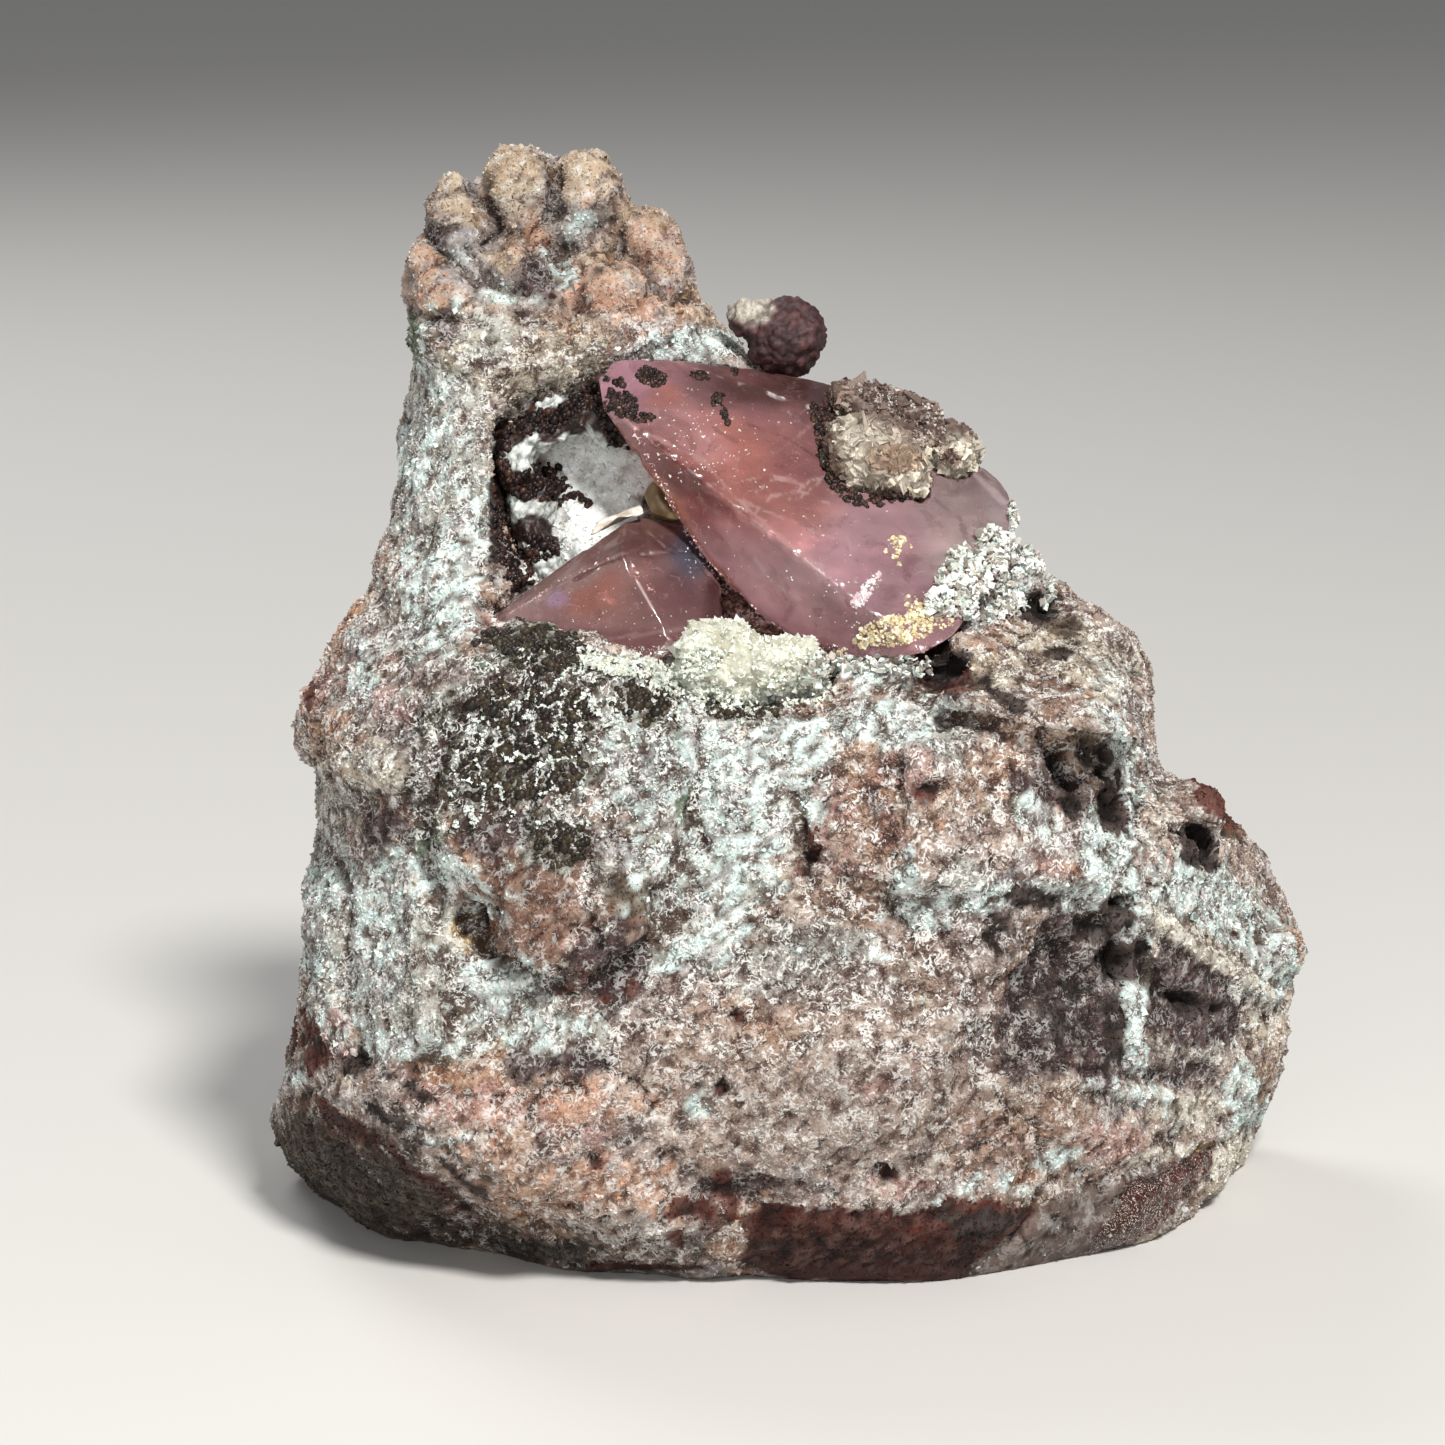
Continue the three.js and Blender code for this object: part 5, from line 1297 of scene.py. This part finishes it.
def set_down(patches, seed, on=None):
    """Places on the first surface seen at random spots of the patches: x, y, half sizes, turn and count."""
    chance = np.random.default_rng(seed)
    at, directions = [], []
    for px, py, rx, ry, turn, count in patches:
        r, a = np.sqrt(chance.random(count)), chance.random(count) * 2 * math.pi
        dx, dy = r * np.cos(a) * rx, r * np.sin(a) * ry
        c, s = math.cos(math.radians(turn)), math.sin(math.radians(turn))
        for gx, gy in zip(px + dx * c - dy * s, py + dx * s + dy * c):
            aim = place((gx - GRID_X) / GRID, (GRID_Y - gy) / GRID, 0.0) - seen_from
            aim /= np.linalg.norm(aim)
            spot, normal, index, _ = tree.ray_cast(Vector(seen_from), Vector(aim))
            if spot is None or (on and carriers[tree_owner[index]][0] not in on):
                continue
            if normal.dot(Vector(aim)) > 0:
                normal = -normal
            at.append(spot)
            directions.append(normal)
    return np.array(at), np.array(directions)


def lay(name, patches, size, tints, seed, shape=POINT, sides=POINT_SIDES, on=None, sink=0.1, tilt=0.5,
        look=grain_material, smooth=False, lift=0.0, seams=None):
    """Small pieces laid on the surfaces in patches, or only in the seams of a noise of that size."""
    at, directions = set_down(patches, seed, on)
    if seams:
        kept = np.abs(rough_noise(at, seams, 281, 3)) < 0.035
        at, directions = at[kept], directions[kept]
    chance = np.random.default_rng(seed + 1)
    at = at + directions * (lift * chance.random(len(at)))[:, None]
    sizes = size * np.exp(0.3 * chance.standard_normal(len(at)))
    own = np.array(tints, dtype=float)[(chance.random(len(at)) * len(tints)).astype(int)]
    own = own * np.exp(0.08 * chance.standard_normal(len(at)))[:, None]
    obj = strewn(name, at, directions, sizes, own, seed + 2, shape, sides, tilt, sink, smooth)
    obj.data.materials.append(look)


bead_material = grain_look("oxide_beads", 0.32, 0.3, 0.0)
fleck_material = grain_look("pale_flecks", 0.4, 0.1, 0.3)
BLACKS = ((29, 20, 18), (43, 27, 22), (20, 15, 14), (60, 38, 31))
BROWNS = ((33, 24, 21), (46, 33, 28), (23, 18, 17), (68, 50, 41))
WHITES = ((236, 240, 234), (220, 230, 222), (204, 214, 204), (240, 240, 232))
lay("pocket_beads",
    along(((500, 440), (515, 424), (566, 420), (578, 400), (604, 396), (612, 425), (626, 446)), 12, 190) +
    along(((504, 440), (499, 500), (506, 560), (520, 590)), 9, 150) +
    [(537, 486, 36, 14, 4, 130), (534, 548, 26, 14, 0, 90), (520, 572, 14, 20, 0, 60),
     (545, 470, 16, 8, 0, 20)] +
    along(((560, 505), (568, 496), (582, 497), (590, 506)), 3, 110),
    0.19, BLACKS, 601, BEAD, BEAD_SIDES, sink=0.2, tilt=0.8, look=bead_material, smooth=True,
    on=("rock", "dark_crust"))
lay("tip_crust", [
    (648, 355, 13, 4, 0, 70), (651, 377, 15, 9, 20, 150), (620, 383, 5, 5, 0, 22), (606, 380, 3, 3, 0, 8),
    (624, 405, 15, 13, 30, 190), (642, 418, 14, 5, 0, 60), (700, 376, 10, 4, 10, 40),
    (717, 399, 5, 8, 50, 34), (725, 415, 3, 12, -20, 34), (735, 372, 5, 3, 0, 8), (610, 400, 6, 12, 20, 40)],
    0.12, BROWNS, 611, BEAD, BEAD_SIDES, on=("pink_crystal",), sink=0.1, tilt=0.9, look=bead_material,
    smooth=True)
DRUSE_EDGE = ((812, 405), (822, 425), (820, 445), (828, 468), (838, 490), (862, 503), (888, 500), (912, 490))
lay("druse_rim", along(DRUSE_EDGE, 6, 130) + [(836, 412, 14, 10, 0, 50)],
    0.15, BROWNS, 621, BEAD, BEAD_SIDES, sink=0.1, tilt=0.9, look=bead_material, smooth=True)
lay("yellow_grains", [
    (898, 630, 40, 15, -10, 400), (922, 616, 16, 12, 0, 90), (866, 642, 12, 7, 0, 40),
    (912, 602, 8, 8, 0, 16), (893, 542, 4, 5, 0, 14), (902, 541, 4, 5, 0, 14), (897, 549, 4, 5, 0, 12),
    (894, 558, 3, 3, 0, 4), (886, 551, 2, 2, 0, 2), (899, 565, 2, 2, 0, 2), (910, 547, 2, 2, 0, 2),
    (842, 652, 8, 4, 0, 10), (944, 622, 10, 8, 0, 20)],
    0.125, ((226, 214, 176), (212, 196, 154), (236, 228, 204), (192, 174, 132)), 631, RHOMB, RHOMB_SIDES,
    on=("pink_crystal",), sink=0.0, tilt=0.9, look=fleck_material)
lay("pale_shard", [
    (866, 592, 5, 14, 35, 46), (875, 578, 3, 8, 35, 16), (856, 604, 5, 4, 0, 14), (862, 598, 14, 2, -30, 10)],
    0.15, ((226, 208, 210), (246, 242, 240), (206, 180, 186)), 635, PLATE, PLATE_SIDES,
    on=("pink_crystal",), sink=0.0, tilt=0.5, look=fleck_material)
lay("white_specks", [
    (645, 651, 56, 5, 2, 120), (600, 646, 14, 8, 20, 40), (700, 640, 16, 6, -20, 36),
    (830, 650, 20, 6, 10, 30), (866, 592, 7, 16, 28, 60), (876, 585, 4, 8, 30, 30),
    (805, 640, 12, 4, 30, 10), (940, 600, 16, 10, 0, 30), (640, 620, 70, 24, 0, 22),
    (600, 600, 60, 30, 0, 16), (780, 500, 130, 90, 0, 90), (700, 430, 60, 40, 20, 90),
    (680, 470, 30, 50, 40, 30), (880, 610, 90, 30, 0, 40), (650, 656, 60, 10, 0, 120),
    (700, 650, 20, 14, 0, 60), (692, 560, 8, 20, 0, 8)],
    0.085, WHITES, 641, on=("pink_crystal", "rose_crystal"), look=fleck_material)
LARGE_EDGE = ((632, 426), (655, 470), (680, 522), (705, 560), (735, 595), (765, 620), (800, 645), (840, 656))
SMALL_EDGE = ((505, 618), (553, 585), (622, 553), (661, 602))
lay("edge_chips", along(LARGE_EDGE, 3, 70) + along(SMALL_EDGE, 2, 24),
    0.10, ((226, 190, 186), (206, 160, 156), (238, 214, 208)), 651, on=("pink_crystal", "rose_crystal"),
    look=fleck_material)
lay("white_crust", [
    (985, 575, 30, 22, 10, 420), (965, 600, 32, 18, -10, 340), (1034, 552, 19, 22, 0, 420),
    (1012, 606, 12, 12, 0, 110), (1000, 548, 26, 14, 30, 260), (1018, 520, 9, 26, -10, 200),
    (955, 575, 22, 14, -30, 160), (1036, 520, 10, 12, 0, 120), (985, 612, 26, 12, 0, 160),
    (938, 606, 14, 10, 0, 60), (960, 560, 14, 12, 0, 50), (1046, 590, 8, 20, 0, 60),
    (870, 664, 60, 9, 3, 330), (820, 668, 18, 12, 0, 130)],
    0.21, WHITES + ((244, 247, 244), (196, 190, 180), (170, 160, 150), (142, 130, 120)), 661, PLATE,
    PLATE_SIDES, sink=-0.1, tilt=1.2, lift=0.6, look=fleck_material)
lay("pale_crumbs", [
    (636, 668, 54, 9, 4, 420), (600, 662, 24, 8, 20, 150), (700, 664, 24, 16, -20, 240),
    (690, 690, 50, 12, 10, 260), (780, 700, 60, 12, -8, 260), (800, 684, 30, 14, 0, 160)],
    0.19, ((228, 230, 216), (238, 241, 232), (206, 208, 192), (216, 226, 218)), 665,
    on=("rock", "rose_crystal", "cream_crust"), sink=-0.1, tilt=0.9, lift=0.35, look=fleck_material)
lay("top_crust", [(900, 404, 46, 12, 20, 160), (930, 432, 18, 20, 30, 90), (950, 455, 12, 8, 30, 50)],
    0.15, ((128, 108, 98), (104, 84, 74), (160, 144, 134), (82, 64, 58)), 671, RHOMB, RHOMB_SIDES, sink=0.1,
    tilt=0.9, lift=0.12)
lay("olive_beads", [
    (545, 650, 40, 24, 0, 190), (500, 640, 26, 12, 0, 60), (566, 722, 26, 34, 0, 130),
    (505, 706, 40, 22, 0, 110), (640, 702, 30, 22, 0, 80), (510, 770, 76, 34, 0, 200),
    (745, 706, 44, 12, -4, 120), (562, 845, 26, 22, 0, 60)],
    0.22, ((48, 42, 32), (36, 33, 28), (62, 54, 38), (44, 34, 30)), 681, BEAD, BEAD_SIDES, on=("rock",),
    sink=0.25, tilt=0.8, look=bead_material, smooth=True)
lay("white_curls", [
    (500, 790, 84, 44, 0, 7000), (545, 680, 70, 30, 0, 3500), (600, 690, 60, 24, 20, 1800),
    (545, 735, 90, 34, 0, 5000), (700, 730, 60, 50, 0, 2500), (720, 800, 60, 60, 0, 2500),
    (640, 800, 60, 60, 0, 3500), (640, 740, 50, 40, 0, 2500), (500, 980, 70, 24, 10, 2200),
    (620, 1020, 80, 40, 0, 3000), (430, 900, 60, 50, 0, 2000), (600, 930, 80, 60, 0, 3000),
    (480, 760, 90, 8, -2, 1500)],
    0.105, WHITES, 691, on=("rock",), sink=-0.3, tilt=0.9, look=fleck_material, lift=0.15, seams=1.5)
cream_points, cream_triangles = points_of(cream.data), triangles_of(cream.data)
at, directions, _ = spread_over(cream_points, cream_triangles, 0.32, 711)
chance = np.random.default_rng(712)
tints = np.array((230, 232, 220.0)) * np.exp(0.07 * chance.standard_normal(len(at)))[:, None]
sizes = 0.2 * np.exp(0.4 * chance.standard_normal(len(at)))
crumbs = strewn(
    "cream_crumbs", at, directions, sizes, tints, 713, POINT, POINT_SIDES, 0.7)
crumbs.data.materials.append(fleck_material)

druse_triangles = triangles_of(druse.data)
shown = 1 - 0.75 * top[druse_triangles].mean(axis=1) - 0.2 * rim[druse_triangles].mean(axis=1)
at, directions, which = spread_over(druse_points, druse_triangles, 0.30, 701, shown)
chance = np.random.default_rng(702)
tints = druse_colour[druse_triangles[which, 0]] * np.exp(0.12 * chance.standard_normal(len(at)))[:, None]
sizes = 0.27 * np.exp(0.45 * chance.standard_normal(len(at)))
druse_grains = strewn(
    "druse_grains", at, directions, sizes, tints, 704, PLATE, PLATE_SIDES, 0.9, 0.2)
druse_grains.data.materials.append(fleck_material)

# Stage, light and camera. The floor reaches that many millimetres each way.
SIDE = 4000
corners = [(-SIDE, -SIDE, 0), (SIDE, -SIDE, 0), (SIDE, SIDE, 0), (-SIDE, SIDE, 0)]
floor = make_object("floor", make_mesh("floor", corners, [(0, 1, 2), (0, 2, 3)]))
floor_look = Look("floor")
floor.data.materials.append(floor_look.set(Base_Color=linear((214, 212, 208)), Roughness=0.8))

world = bpy.data.worlds.new("studio")
bpy.context.scene.world = world
world.use_nodes = True
background = world.node_tree.nodes["Background"]
background.inputs["Color"].default_value = (0.95, 0.965, 1.0, 1)
background.inputs["Strength"].default_value = 0.20


def soft_light(name, at, size, power, colour=(1, 1, 1)):
    data = bpy.data.lights.new(name, "AREA")
    data.shape = "DISK"
    data.size = size
    data.energy = power
    data.color = colour
    obj = bpy.data.objects.new(name, data)
    bpy.context.scene.collection.objects.link(obj)
    obj.location = at
    aim = Vector((0, 0, 0.03)) - Vector(at)
    obj.rotation_euler = aim.to_track_quat("-Z", "Y").to_euler()


soft_light("key", (0.13, -0.36, 0.48), 0.11, 4.1, (1.0, 0.98, 0.95))
soft_light("fill", (-0.12, -0.52, 0.14), 0.3, 0.84)
soft_light("back", (-0.25, 0.40, 0.45), 0.3, 1.3)

# The sensor's width in millimetres, and the picture's in steps of the grid.
SENSOR, PICTURE_WIDTH = 36, 1445
camera_data = bpy.data.cameras.new("camera")
camera = bpy.data.objects.new("camera", camera_data)
bpy.context.scene.collection.objects.link(camera)
camera.location = place(EYE_U, EYE_V, EYE_DISTANCE) * MM
camera.rotation_euler = (math.pi / 2 - EYE_TILT, 0, 0)
camera_data.sensor_width = SENSOR
camera_data.lens = SENSOR * EYE_DISTANCE / (PICTURE_WIDTH / GRID)
camera_data.clip_start = 0.01
bpy.context.scene.camera = camera
bpy.context.scene.view_settings.view_transform = "Standard"
